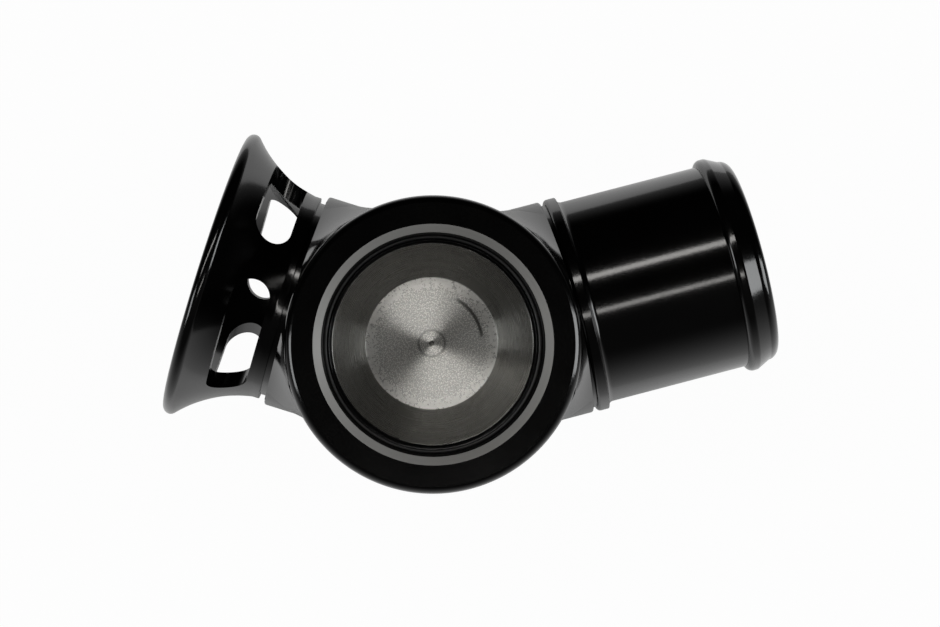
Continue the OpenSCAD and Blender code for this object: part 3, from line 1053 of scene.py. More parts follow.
class Finishes:
    """The materials of all the pieces."""

    def __init__(self, layout: Layout, floor_r: float) -> None:
        """Makes the materials.

        Args:
            layout: Places of the axes that the pieces were turned about.
            floor_r: Radius of the floor of the piston's dish.
        """
        valve, nipple = layout.valve_axis(), layout.nipple_axis()
        trumpet = layout.port_axis(layout.trumpet_angle)
        edge = TurnedMetal(valve, (0.29, 0.287, 0.277), (0.41, 0.406, 0.393), 0.6, 0.3, bright=0.3)
        # Painted shade: the piston's bare metal is coloured darker than the dish's faced floor, to stand for
        # the shade in the dish's cone
        bare = TurnedMetal(valve, (0.15, 0.147, 0.14), (0.32, 0.316, 0.3), 0.27, 0.7)
        brass = TurnedMetal(nipple, (0.5, 0.34, 0.11), (0.74, 0.55, 0.24), 0.3, 0.0)
        copper = TurnedMetal(nipple, (0.5, 0.22, 0.11), (0.68, 0.34, 0.2), 0.4, 0.0)
        rubber = Moulded((0.012, 0.012, 0.012), (0.03, 0.03, 0.03), 0.42)
        slipper = Moulded((0.6, 0.58, 0.52), (0.72, 0.7, 0.64), 0.5)
        spring = DrawnSteel((0.2, 0.2, 0.21), (0.42, 0.42, 0.43), 0.32)
        screws = DrawnSteel((0.03, 0.03, 0.032), (0.07, 0.07, 0.072), 0.38)
        self.barrel = BlackAnodise(valve).material("black_barrel")
        self.tail = BlackAnodise(layout.port_axis(0.0)).material("black_tail")
        self.trumpet = BlackAnodise(trumpet).material("black_trumpet")
        self.chamfer = edge.material("bare_chamfer")
        self.piston = bare.material("bare_piston")
        self.disc = FacedDisc(valve, floor_r).material("faced_disc")
        self.rubber = rubber.material("seal_rubber")
        self.slipper = slipper.material("slipper_ring")
        self.spring = spring.material("spring_wire")
        self.screws = screws.material("black_screws")
        self.brass = brass.material("brass_nipple")
        self.copper = copper.material("copper_washer")


@dataclass
class SubAssembly:
    """What the valve's sub-assemblies have in common.

    Attributes:
        layout: Places that they share.
        pieces: The finished pieces.
    """

    layout: Layout
    pieces: list[bpy.types.Object] = field(default_factory=list, init=False)

    def dress(
        self,
        piece: bpy.types.Object,
        materials: Sequence[bpy.types.Material],
        slot: Slot,
        body: Body = Body.VALVE,
        stands_for: str | None = None,
    ) -> None:
        """Gives a piece its materials, and its place among the part's bodies.

        Args:
            piece: The piece.
            materials: Its materials in order.
            slot: A slot of the part's record; not used.
            body: The body that it rides on.
            stands_for: Node that it is shown for.
        """
        piece.data.materials.clear()
        for material in materials:
            piece.data.materials.append(material)
        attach(piece, body.value)
        if stands_for:
            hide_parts(stands_for)
        self.pieces.append(piece)

    def o_ring(
        self,
        node: str,
        mean: float,
        section: float,
        at: float,
        spindle: Spindle,
        rubber: bpy.types.Material,
        body: Body = Body.VALVE,
    ) -> None:
        """Makes and dresses an O-ring.

        Args:
            node: Node that it is shown for.
            mean: Radius to the middle of its section, in millimetres.
            section: Diameter of its section, in millimetres.
            at: Its place along the axis, in millimetres.
            spindle: Its axis.
            rubber: Its finish.
            body: The body that it rides on.
        """
        outline = [Vector((k.r, k.a)) * MM for k in arc(Vector((mean, at)), section / 2, 0, 345, 23)]
        piece = polish(turned(f"{node}_seal", outline, spindle, SEAL_ROUND))
        self.dress(piece, (rubber,), Slot.RUBBER, body, node)


@dataclass
class Barrel(SubAssembly):
    """The turned barrel with its two port bosses. Sizes are in millimetres, and places from the inlet face.

    Attributes:
        body_r: Its outer radius.
        edge_r: Depth below the inlet face at which the port blends stop.
        edge_curve: Radius of the curved edge of the inlet face.
        edge_turn: Angle in degrees that the edge turns through before it meets the face.
        bore_r: Radius of the piston's bore.
        thread_r: Radius of the inlet's thread.
        chamfer: Size of the machined chamfer at the mouth.
        thread_end: Place of the floor below the thread.
        thread_turns: Turns of the thread's ridge.
        ridge: Radius of the corners of the ridge's section.
        seat: Place of the piston's seat.
        lip_r: Radius of the opening above the seat.
        lip_chamfer: Chamfer of that opening.
        joint: Place of the joint with the cap.
        foot_chamfer: Chamfer at the joint.
        boss_r: Radius of the port bosses.
        boss_root: Where a boss starts inside the barrel, from the valve's axis.
        boss_edge: Round at a boss's end.
        blend_r: Radius of the blends between the bosses and the barrel.
        blend_bite: How far the blends sink into the faces that they join.
        blend_over: Share of a blend's arc that runs on into each face.
        blend_root: Reach of a blend's root, as a share of the way from the ball to the corner of the faces.
        window_r: Radius of the port windows.
        socket_r: Radius of the sockets that the fittings are screwed into.
        socket_len: Length of those sockets.
        spot_r: Radius of the spot faces round the ports.
        ring_t: Depth of the groove for the inlet's O-ring.
        ring_land: Land between the thread and that groove.
        ring_gap: Room between the O-ring and its groove.
        screw_hole_r: Radius of the holes for the cap screws.
        screw_hole_end: Place of their ends.
        facets: Facets round the barrel.
        crease: Angle in degrees above which its edges stay sharp.
        thread_points: Points along the thread's ridge.
        ridge_sides: Sides of the ridge's section.
    """

    body_r: float = 26.2
    edge_r: float = 1.7
    edge_curve: float = 2.2
    edge_turn: float = 66.0
    bore_r: float = 19.05
    thread_r: float = 19.7
    chamfer: float = 1.4
    thread_end: float = -5.1
    thread_turns: float = 3.6
    ridge: float = 0.34
    seat: float = -7.1
    lip_r: float = 17.85
    lip_chamfer: float = 0.5
    joint: float = -69.8
    foot_chamfer: float = 0.7
    boss_r: float = 20.1
    boss_root: float = 5.0
    boss_edge: float = 0.5
    blend_r: float = 14.6
    blend_bite: float = 0.06
    blend_over: float = 0.12
    blend_root: float = 1.22
    window_r: float = 13.0
    socket_r: float = 17.85
    socket_len: float = 5.8
    spot_r: float = 20.8
    ring_t: float = 0.8
    ring_land: float = 0.25
    ring_gap: float = 0.03
    screw_hole_r: float = 1.55
    screw_hole_end: float = -64.0
    facets: int = 384
    crease: float = 18.0
    thread_points: int = 720
    ridge_sides: int = 4

    def tube(self) -> bpy.types.Object:
        """Turns the barrel with its bores.

        Returns:
            The barrel, still without its ports.
        """
        drop = self.edge_curve * math.sin(math.radians(self.edge_turn))
        groove_out = self.thread_r - self.ring_land
        groove_in = groove_out - self.ring_t - 2 * self.ring_gap
        knots = [
            Knot(self.body_r - self.foot_chamfer, self.joint, Edge.CRISP),
            Knot(self.body_r, self.joint + self.foot_chamfer, Edge.SOFT),
            *arc(Vector((self.body_r - self.edge_curve, -drop)), self.edge_curve, 0, self.edge_turn, 11),
            Knot(self.thread_r + self.chamfer, 0, Edge.CLEAN),
            Knot(self.thread_r, -self.chamfer, Edge.SHARP),
            Knot(self.thread_r, self.thread_end),
            Knot(groove_out, self.thread_end),
            Knot(groove_out, self.thread_end - self.ring_t),
            Knot(groove_in, self.thread_end - self.ring_t),
            Knot(groove_in, self.thread_end, Edge.KEEN),
            Knot(self.lip_r + self.lip_chamfer, self.thread_end, Edge.KEEN),
            Knot(self.lip_r, self.thread_end - self.lip_chamfer, Edge.SHARP),
            Knot(self.lip_r, self.seat, Edge.SHARP),
            Knot(self.bore_r, self.seat),
            Knot(self.bore_r, self.joint),
        ]
        return turned("valve_barrel", eased(knots), self.layout.valve_axis(), self.facets)

    def boss(self, axis: Spindle) -> bpy.types.Object:
        """Turns one port boss.

        Args:
            axis: The port's axis.

        Returns:
            The boss.
        """
        face = self.layout.face_mm()
        knots = [
            Knot(0, self.boss_root),
            Knot(self.boss_r, self.boss_root),
            Knot(self.boss_r, face, self.boss_edge),
            Knot(0, face),
        ]
        return turned("boss", eased(knots), axis)

    def blend(self, axis: Spindle, sections: int = 240, steps: int = 24) -> bpy.types.Object:
        """Sweeps the blend between a boss and the barrel along the path of a ball that touches both.

        Args:
            axis: The port's axis.
            sections: Sections along the path.
            steps: Stretches in each section's arc.

        Returns:
            The blend as a solid ring, sunk into the boss and the barrel.
        """
        frame = axis.upright()
        to_boss = self.boss_r + self.blend_r - self.blend_bite
        to_body = self.body_r + self.blend_r - self.blend_bite
        over = self.blend_over
        shares = [-over + (1 + 2 * over) * s / steps for s in range(steps + 1)]
        rows = []
        for i in range(sections):
            angle = math.tau * i / sections
            side, up = to_boss * math.sin(angle), to_boss * math.cos(angle)
            ball = Vector((math.sqrt(to_body**2 - side**2), side, up))
            body_way = -Vector((ball.x, ball.y, 0)) / to_body
            boss_way = -Vector((0, side, up)) / to_boss
            row = [ball + self.blend_r * slerp(body_way, boss_way, s) for s in shares]
            corner = (body_way + boss_way) / (1 + body_way.dot(boss_way))
            row.append(ball + self.blend_r * self.blend_root * corner)
            rows.append([axis.origin + frame @ (p * MM) for p in row])
        return skin("blend", rows, closed_rows=True)

    def neck(self, axis: Spindle) -> bpy.types.Object:
        """Joins a boss and its blend.

        Args:
            axis: The port's axis.

        Returns:
            Both in one, trimmed at the port's face, at the barrel's edge and inside the barrel's wall.
        """
        face = self.layout.port_face
        tall = self.layout.port_depth - self.edge_r * MM
        deep = -(self.boss_r + self.blend_r) * MM
        wide = 2 * self.body_r * MM
        frame = axis.upright()
        corners = ((0, -wide), (face, -wide), (face, wide), (0, wide))
        rows = [[axis.origin + frame @ Vector((x, y, z)) for x, y in corners] for z in (deep, tall)]
        neck = carve(self.blend(axis), skin("bounds", rows, closed_rows=False), Cut.KEEP)
        neck = carve(neck, self.boss(axis), Cut.JOIN)
        wall = (self.body_r + self.bore_r) / 2
        top, foot = 10 * PAST, 2 * self.joint
        core = eased([Knot(0, top), Knot(wall, top), Knot(wall, foot), Knot(0, foot)])
        return carve(neck, turned("core", core, self.layout.valve_axis()), Cut.TAKE)

    def port_tool(self, axis: Spindle) -> bpy.types.Object:
        """Turns the tool that bores one port: its window, its socket and its spot face.

        Args:
            axis: The port's axis.

        Returns:
            The tool.
        """
        face = self.layout.face_mm()
        floor = face - self.socket_len
        far = 3 * face
        knots = [
            Knot(0, 0),
            Knot(self.window_r, 0),
            Knot(self.window_r, floor),
            Knot(self.socket_r, floor),
            Knot(self.socket_r, face),
            Knot(self.spot_r, face),
            Knot(self.spot_r, far),
            Knot(0, far),
        ]
        return turned("port_tool", eased(knots), axis)

    def build(self, black: bpy.types.Material, bare: bpy.types.Material, rubber: bpy.types.Material) -> None:
        """Builds and dresses the barrel, the ridge of its thread and the O-ring in its mouth.

        Args:
            black: Finish of the barrel.
            bare: Finish of its machined chamfer.
            rubber: Finish of the O-ring.
        """
        shell = self.tube()
        ports = [self.layout.port_axis(angle) for angle in (0.0, self.layout.trumpet_angle)]
        for axis in ports:
            shell = carve(shell, self.neck(axis), Cut.JOIN)
        for axis in ports:
            shell = carve(shell, self.port_tool(axis), Cut.TAKE)
        for axis in self.layout.screw_axes():
            hole = rod(self.screw_hole_r, self.joint - PAST, self.screw_hole_end, axis)
            shell = carve(shell, hole, Cut.TAKE)
        polish(shell, self.crease)
        self.dress(shell, (black, bare), Slot.BLACK, stands_for="valve_body")
        self.mark_chamfer(shell)
        self.cut_thread(black)
        mean = self.thread_r - self.ring_land - self.ring_gap - self.ring_t / 2
        at = self.thread_end - self.ring_t / 2
        self.o_ring("inlet_o_ring", mean, self.ring_t - self.ring_gap, at, self.layout.valve_axis(), rubber)

    def mark_chamfer(self, shell: bpy.types.Object) -> None:
        """Gives the machined chamfer of the mouth its own finish.

        Args:
            shell: The barrel, with that finish as its second material.
        """
        level, room = 0.01, 0.05
        for face in shell.data.polygons:
            depth = (self.layout.inlet - face.center.z) / MM
            radius = math.hypot(face.center.x, face.center.y) / MM
            inside = radius < self.thread_r + self.chamfer + room
            face.material_index = 1 if inside and level < depth < self.chamfer + room else 0

    def cut_thread(self, black: bpy.types.Material) -> None:
        """Winds and dresses the ridge of the inlet's thread.

        Args:
            black: Its finish.
        """
        recipe = Recipe("inlet_thread_ridge")
        turns = recipe.size("Turns", self.thread_turns)
        radius = recipe.size("Radius", self.thread_r * MM)
        start = recipe.size("Start", self.layout.inlet + (self.thread_end + 2 * self.ridge) * MM)
        length = recipe.size("Length", -(self.thread_end + self.chamfer + 3 * self.ridge) * MM)
        ridge = recipe.size("Ridge", self.ridge * MM)
        path = recipe.helix(turns, radius, lambda turn: start + turn * (length / turns), self.thread_points)
        piece = recipe.grow(recipe.sweep(path, ridge, self.ridge_sides), black)
        self.dress(polish(piece), (black,), Slot.BLACK)


@dataclass(frozen=True)
class Spigot:
    """The end of a port's fitting that is screwed into the barrel, with its O-ring. Sizes are in millimetres.

    Attributes:
        radius: Its outer radius.
        length: Its length inside the port's face.
        bore_r: Radius of its bore.
        groove_r: Radius of its O-ring groove's root.
        groove: Places of the groove's ends, from the port's face.
        ring_mean: Radius to the middle of the O-ring's section.
        ring_t: Diameter of that section.
    """

    radius: float = 17.8
    length: float = 5.6
    bore_r: float = 15.5
    groove_r: float = 16.59
    groove: tuple[float, float] = (-3.5, -2.1)
    ring_mean: float = 17.22
    ring_t: float = 1.2

    def knots(self, face: float) -> list[Knot]:
        """Returns the corners of its section, from its bore to the port's face.

        Args:
            face: Place of the port's face along the axis.

        Returns:
            The corners in order.
        """
        low, high = self.groove
        return [
            Knot(self.bore_r, face - self.length, Edge.SOFT),
            Knot(self.radius, face - self.length, Edge.BLUNT),
            Knot(self.radius, face + low),
            Knot(self.groove_r, face + low),
            Knot(self.groove_r, face + high),
            Knot(self.radius, face + high),
            Knot(self.radius, face),
        ]

    def ring(self, face: float) -> tuple[float, float, float]:
        """Returns the O-ring's mean radius, its section and its place along the axis."""
        return self.ring_mean, self.ring_t, face + sum(self.groove) / 2


@dataclass
class HoseTail(SubAssembly):
    """The turned hose tail. Sizes are in millimetres.

    Attributes:
        spigot: Its end in the barrel.
        tube_r: Radius of its tube.
        length: Its length from the port's face.
        groove_r: Radius of the groove between the port's face and the collar.
        groove_w: Width of that groove.
        collar_r: Radius of the collar that a hose stops at.
        collar_w: Width of the collar.
        collar_edge: Round at the collar's edge near the port.
        fillet_r: Radius of the fillet between the collar and the tube.
        bead_top: Radius of the bead's crest.
        bead_r: Radius of the bead's rounds.
        bead_land: Width of the crest's land.
        bead_inset: Distance from the bead's middle to the tail's end.
        taper: Angle in degrees that the bead turns through before the slope to the nose.
        tip_r: Radius of the nose.
        nose_r: Radius of the nose's round.
    """

    spigot: Spigot = Spigot()
    tube_r: float = 19.05
    length: float = 35.8
    groove_r: float = 19.3
    groove_w: float = 0.7
    collar_r: float = 20.2
    collar_w: float = 2.2
    collar_edge: float = 0.7
    fillet_r: float = 1.1
    bead_top: float = 20.2
    bead_r: float = 1.15
    bead_land: float = 0.5
    bead_inset: float = 4.8
    taper: float = 22.0
    tip_r: float = 19.0
    nose_r: float = 1.9

    def build(self, black: bpy.types.Material, rubber: bpy.types.Material) -> None:
        """Builds and dresses the hose tail and its O-ring.

        Args:
            black: Finish of the tail.
            rubber: Finish of the O-ring.
        """
        face = self.layout.face_mm()
        end = face + self.length
        collar = face + self.groove_w
        shoulder = collar + self.collar_w
        bead = self.bead_top - self.bead_r
        middle = end - self.bead_inset
        foot = math.degrees(math.acos((self.tube_r - bead) / self.bead_r))
        fillet = Vector((self.tube_r + self.fillet_r, shoulder + self.fillet_r))
        knots = [
            *self.spigot.knots(face),
            Knot(self.groove_r, face),
            Knot(self.groove_r, collar),
            Knot(self.collar_r, collar, self.collar_edge),
            Knot(self.collar_r, shoulder, Edge.BROKEN),
            *arc(fillet, self.fillet_r, -90, -180, 10),
            *arc(Vector((bead, middle - self.bead_land / 2)), self.bead_r, -foot, 0, 12),
            *arc(Vector((bead, middle + self.bead_land / 2)), self.bead_r, 0, self.taper, 6),
            *arc(Vector((self.tip_r - self.nose_r, end - self.nose_r)), self.nose_r, 0, 90, 12),
            Knot(self.spigot.bore_r, end, Edge.FULL),
        ]
        axis = self.layout.port_axis(0.0)
        tail = polish(turned("hose_tail_turned", eased(knots), axis))
        self.dress(tail, (black,), Slot.BLACK, stands_for="hose_tail")
        self.o_ring("tail_o_ring", *self.spigot.ring(face), axis, rubber)


@dataclass
class Trumpet(SubAssembly):
    """The slotted trumpet. Sizes are in millimetres.

    Attributes:
        spigot: Its end in the barrel.
        rim_r: Radius of its rim.
        length: Its length from the port's face.
        lip_r: Radius of the rim's round.
        lip_slope: Angle in degrees on that round where the outer flare meets it, from straight out.
        outer_curve: Radius of the outer flare.
        inner_curve: Radius of the inner flare.
        collar_r: Radius of the collar at the flare's foot.
        collar_w: Width of the collar.
        groove_r: Radius of the groove between the port's face and the collar.
        groove_w: Width of that groove.
        slots: How many slots it has.
        slot_w: Width of a slot.
        slot_at: Place of a slot's middle line, from the port's face.
        slot_angle: Angle in degrees that a slot spans.
        rib_angle: Angle in degrees from straight up to the first rib between two slots.
        tool_in: Inner radius of the tool that cuts the slots.
        tool_out: Outer radius of that tool.
    """

    spigot: Spigot = Spigot()
    rim_r: float = 27.0
    length: float = 17.5
    lip_r: float = 1.3
    lip_slope: float = 53.0
    outer_curve: float = 22.5
    inner_curve: float = 26.0
    collar_r: float = 19.4
    collar_w: float = 1.2
    groove_r: float = 18.5
    groove_w: float = 1.2
    slots: int = 4
    slot_w: float = 6.8
    slot_at: float = 7.4
    slot_angle: float = 71.0
    rib_angle: float = 14.5
    tool_in: float = 10.0
    tool_out: float = 30.0

    @staticmethod
    def flare(start: Vector, end: Vector, radius: float, steps: int = 40) -> list[Knot]:
        """Works out the arc of a flare that bows towards the axis.

        Args:
            start: End of the arc near the port, in millimetres.
            end: End of the arc at the rim.
            radius: Radius of the arc.
            steps: Stretches in the arc.

        Returns:
            Corners along the arc.
        """
        chord = end - start
        along = chord.normalized()
        rise = math.sqrt(radius**2 - (chord.length / 2) ** 2)
        centre = (start + end) / 2 + rise * Vector((along.y, -along.x))
        points = [centre + slerp(start - centre, end - centre, s / steps) for s in range(steps + 1)]
        return [Knot(p.x, p.y) for p in points]

    def section(self) -> list[Vector]:
        """Works out the trumpet's section.

        Returns:
            Points of the closed outline, in metres.
        """
        face = self.layout.face_mm()
        land = face + self.groove_w
        lip = Vector((self.rim_r - self.lip_r, face + self.length - self.lip_r))
        slope = math.radians(self.lip_slope)
        across = self.lip_r * Vector((math.cos(slope), -math.sin(slope)))
        outer = self.flare(Vector((self.collar_r, land + self.collar_w)), lip + across, self.outer_curve)
        inner = self.flare(Vector((self.spigot.bore_r, face)), lip - across, self.inner_curve)
        rim = arc(lip, self.lip_r, -self.lip_slope, 180 - self.lip_slope, 16)
        knots = [
            *self.spigot.knots(face),
            Knot(self.groove_r, face),
            Knot(self.groove_r, land),
            Knot(self.collar_r, land, Edge.BROKEN),
            *outer,
            *rim[1:-1],
            *reversed(inner),
        ]
        return eased(knots)

    def slot_tool(self, axis: Spindle, middle: float) -> bpy.types.Object:
        """Makes the tool that cuts one slot with round ends.

        Args:
            axis: The trumpet's axis.
            middle: Angle to the middle of the slot, in degrees from straight up.

        Returns:
            The tool.
        """
        half = self.slot_w / 2
        run = self.slot_angle / 2 - math.degrees(half / self.collar_r)
        end_steps, run_steps = 12, 40
        quarter = [math.radians(90 - 90 * s / end_steps) for s in range(end_steps + 1)]
        end = [(half * math.sin(t), half * math.cos(t)) for t in quarter]
        stations = [(-run, -aside, tall) for aside, tall in end]
        stations += [(-run + 2 * run * s / run_steps, 0.0, half) for s in range(1, run_steps)]
        stations += [(run, aside, tall) for aside, tall in reversed(end)]
        line = UP * (self.layout.face_mm() + self.slot_at)
        thinnest = 0.01
        place = axis.matrix()
        rows = []
        for turn, aside, tall in stations:
            angle = math.radians(middle + turn)
            out = Vector((math.cos(angle), math.sin(angle), 0))
            side = UP.cross(out) * aside
            lift = UP * max(tall, thinnest)
            near, far = line + side + out * self.tool_in, line + side + out * self.tool_out
            rows.append([place @ (p * MM) for p in (near + lift, far + lift, far - lift, near - lift)])
        return skin("slot_tool", rows, closed_rows=False)

    def build(self, black: bpy.types.Material, rubber: bpy.types.Material) -> None:
        """Builds and dresses the trumpet and its O-ring.

        Args:
            black: Finish of the trumpet.
            rubber: Finish of the O-ring.
        """
        axis = self.layout.port_axis(self.layout.trumpet_angle)
        trumpet = turned("trumpet_turned", self.section(), axis)
        for i in range(self.slots):
            middle = self.rib_angle + (i + 0.5) * 360 / self.slots
            trumpet = carve(trumpet, self.slot_tool(axis, middle), Cut.TAKE)
        polish(trumpet)
        self.dress(trumpet, (black,), Slot.BLACK, stands_for="trumpet")
        self.o_ring("trumpet_o_ring", *self.spigot.ring(self.layout.face_mm()), axis, rubber)


@dataclass
class Piston(SubAssembly):
    """The dished piston with its seals. Sizes are in millimetres, and places from the inlet face.

    Attributes:
        piston_r: Its outer radius.
        seat: Place of its rim, on the barrel's seat.
        rim_w: Width of the rim.
        floor_r: Radius of its dish's floor.
        dish_depth: Depth of the dish.
        floor_t: Thickness of the floor.
        pip_r: Radius of the centre mark.
        skirt_r: Inner radius of its skirt.
        skirt_end: Place of the skirt's end.
        guide_r: Radius of the boss that guides the spring.
        guide_len: Length of that boss.
        guide_chamfer: Chamfer of that boss.
        seal_w: Width of the seal grooves.
        front_seal: Place of the lower face of the front seal's groove.
        rear_seal: Place of the lower face of the rear seal's groove.
        slipper_t: Thickness of the slipper rings.
        energiser_t: Section of the O-rings under them.
        ring_gap: Room between a seal and its groove.
    """

    piston_r: float = 19.0
    seat: float = -7.1
    rim_w: float = 1.2
    floor_r: float = 11.95
    dish_depth: float = 10.8
    floor_t: float = 4.0
    pip_r: float = 0.5
    skirt_r: float = 15.6
    skirt_end: float = -48.2
    guide_r: float = 9.9
    guide_len: float = 2.4
    guide_chamfer: float = 0.5
    seal_w: float = 1.8
    front_seal: float = -11.9
    rear_seal: float = -46.8
    slipper_t: float = 0.8
    energiser_t: float = 1.4
    ring_gap: float = 0.03

    def floor(self) -> float:
        """Returns the place of the dish's floor."""
        return self.seat - self.dish_depth

    def groove_r(self) -> float:
        """Returns the radius of the seal grooves' roots."""
        return self.piston_r - self.slipper_t - self.energiser_t - 2 * self.ring_gap

    def section(self) -> list[Vector]:
        """Works out the piston's section.

        Returns:
            Points of the closed outline, in metres.
        """
        floor, root = self.floor(), self.groove_r()
        under = floor - self.floor_t
        guide = under - self.guide_len
        knots = [
            Knot(0, guide),
            Knot(0, floor - self.pip_r),
            Knot(self.pip_r, floor),
            Knot(self.floor_r, floor, Edge.CLEAN),
            Knot(self.piston_r - self.rim_w, self.seat, Edge.CLEAN),
            Knot(self.piston_r, self.seat, Edge.CRISP),
        ]
        for low in (self.front_seal, self.rear_seal):
            high = low + self.seal_w
            knots += [Knot(self.piston_r, high), Knot(root, high), Knot(root, low), Knot(self.piston_r, low)]
        knots += [
            Knot(self.piston_r, self.skirt_end, Edge.SOFT),
            Knot(self.skirt_r, self.skirt_end, Edge.SOFT),
            Knot(self.skirt_r, under, Edge.FULL),
            Knot(self.guide_r, under, Edge.EASY),
            Knot(self.guide_r, guide + self.guide_chamfer),
            Knot(self.guide_r - self.guide_chamfer, guide),
        ]
        return eased(knots)

    def mark_floor(self, piston: bpy.types.Object) -> None:
        """Gives the floor of the dish its own finish.

        Args:
            piston: The piston, with that finish as its second material.
        """
        room, faces_up = 0.1, 0.5
        height = self.layout.inlet + self.floor() * MM
        near = (self.pip_r + room) * MM
        for face in piston.data.polygons:
            on_floor = abs(face.center.z - height) < near and face.normal.z > faces_up
            face.material_index = 1 if on_floor else 0

    def seal(self, name: str, low: float, slipper: bpy.types.Material, rubber: bpy.types.Material) -> None:
        """Builds and dresses a slipper ring and the O-ring that presses it out.

        Args:
            name: First word of their nodes' names.
            low: Place of the lower face of their groove.
            slipper: Finish of the slipper ring.
            rubber: Finish of the O-ring.
        """
        axis = self.layout.valve_axis()
        high = low + self.seal_w
        inner, gap = self.piston_r - self.slipper_t, self.ring_gap
        ring = turned(f"{name}_slipper", band(inner, self.piston_r, low + gap, high - gap, Edge.SHARP), axis)
        self.dress(polish(ring), (slipper,), Slot.SLIPPER, Body.PISTON, f"{name}_slipper_ring")
        mean = self.groove_r() + gap + self.energiser_t / 2
        middle = (low + high) / 2
        self.o_ring(f"{name}_energiser", mean, self.energiser_t, middle, axis, rubber, Body.PISTON)

    def build(
        self,
        bare: bpy.types.Material,
        disc: bpy.types.Material,
        slipper: bpy.types.Material,
        rubber: bpy.types.Material,
    ) -> None:
        """Builds and dresses the piston and its seals.

        Args:
            bare: Finish of the piston.
            disc: Finish of its dish's floor.
            slipper: Finish of the slipper rings.
            rubber: Finish of the O-rings under them.
        """
        piston = polish(turned("piston_turned", self.section(), self.layout.valve_axis()))
        self.dress(piston, (bare, disc), Slot.BARE, Body.PISTON, "piston")
        self.mark_floor(piston)
        self.seal("front", self.front_seal, slipper, rubber)
        self.seal("rear", self.rear_seal, slipper, rubber)


@dataclass
class Spring(SubAssembly):
    """The piston's spring and the shim under it. Sizes are in millimetres.

    Attributes:
        start: Place of the spring's foot, from the inlet face.
        length: Its length with the valve shut.
        coil_r: Radius of its coil, to the middle of the wire.
        wire: Diameter of its wire.
        turns: How many turns it has.
        closed: How many of them are closed at each end.
        closed_rise: Rise of a closed turn.
        travel: Travel of the piston; not used.
        shim_in: Radius of the shim's hole.
        shim_out: Outer radius of the shim.
        shim_t: Thickness of the shim.
        points: Points along the wire.
        sides: Facets round the wire.
        shim_facets: Facets round the shim.
    """

    start: float = -70.3
    length: float = 48.4
    coil_r: float = 11.3
    wire: float = 2.4
    turns: float = 7.0
    closed: float = 1.0
    closed_rise: float = 2.43
    travel: float = 17.0
    shim_in: float = 7.7
    shim_out: float = 12.7
    shim_t: float = 1.0
    points: int = 560
    sides: int = 20
    shim_facets: int = 128

    def build(self, steel: bpy.types.Material) -> None:
        """Winds and dresses the spring and turns the shim.

        Args:
            steel: Finish of both.
        """
        foot = self.layout.inlet + self.start * MM
        recipe = Recipe("spring_coil")
        turns = recipe.size("Turns", self.turns)
        closed = recipe.size("Closed Turns", self.closed)
        radius = recipe.size("Coil Radius", self.coil_r * MM)
        wire = recipe.size("Wire Radius", self.wire / 2 * MM)
        start = recipe.size("Start", foot)
        length = recipe.size("Length", self.length * MM)
        rise = recipe.size("Closed Rise", self.closed_rise * MM)
        open_rise = (length - wire * 2 - closed * 2 * rise) / (turns - closed * 2)

        def height(turn: Wire) -> Wire:
            """Returns the wire's height after a number of turns."""
            opened = (turn - closed).between(0.0, turns - closed * 2)
            return start + wire + opened * open_rise + (turn - opened) * rise

        path = recipe.helix(turns, radius, height, self.points)
        coil = polish(recipe.grow(recipe.sweep(path, wire, self.sides), steel))
        self.dress(coil, (steel,), Slot.SPRING, stands_for="piston_spring")
        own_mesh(coil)
        outline = band(self.shim_in, self.shim_out, self.start - self.shim_t, self.start, Edge.CRISP)
        shim = polish(turned("spring_shim_turned", outline, self.layout.valve_axis(), self.shim_facets))
        self.dress(shim, (steel,), Slot.SPRING, stands_for="spring_shim")


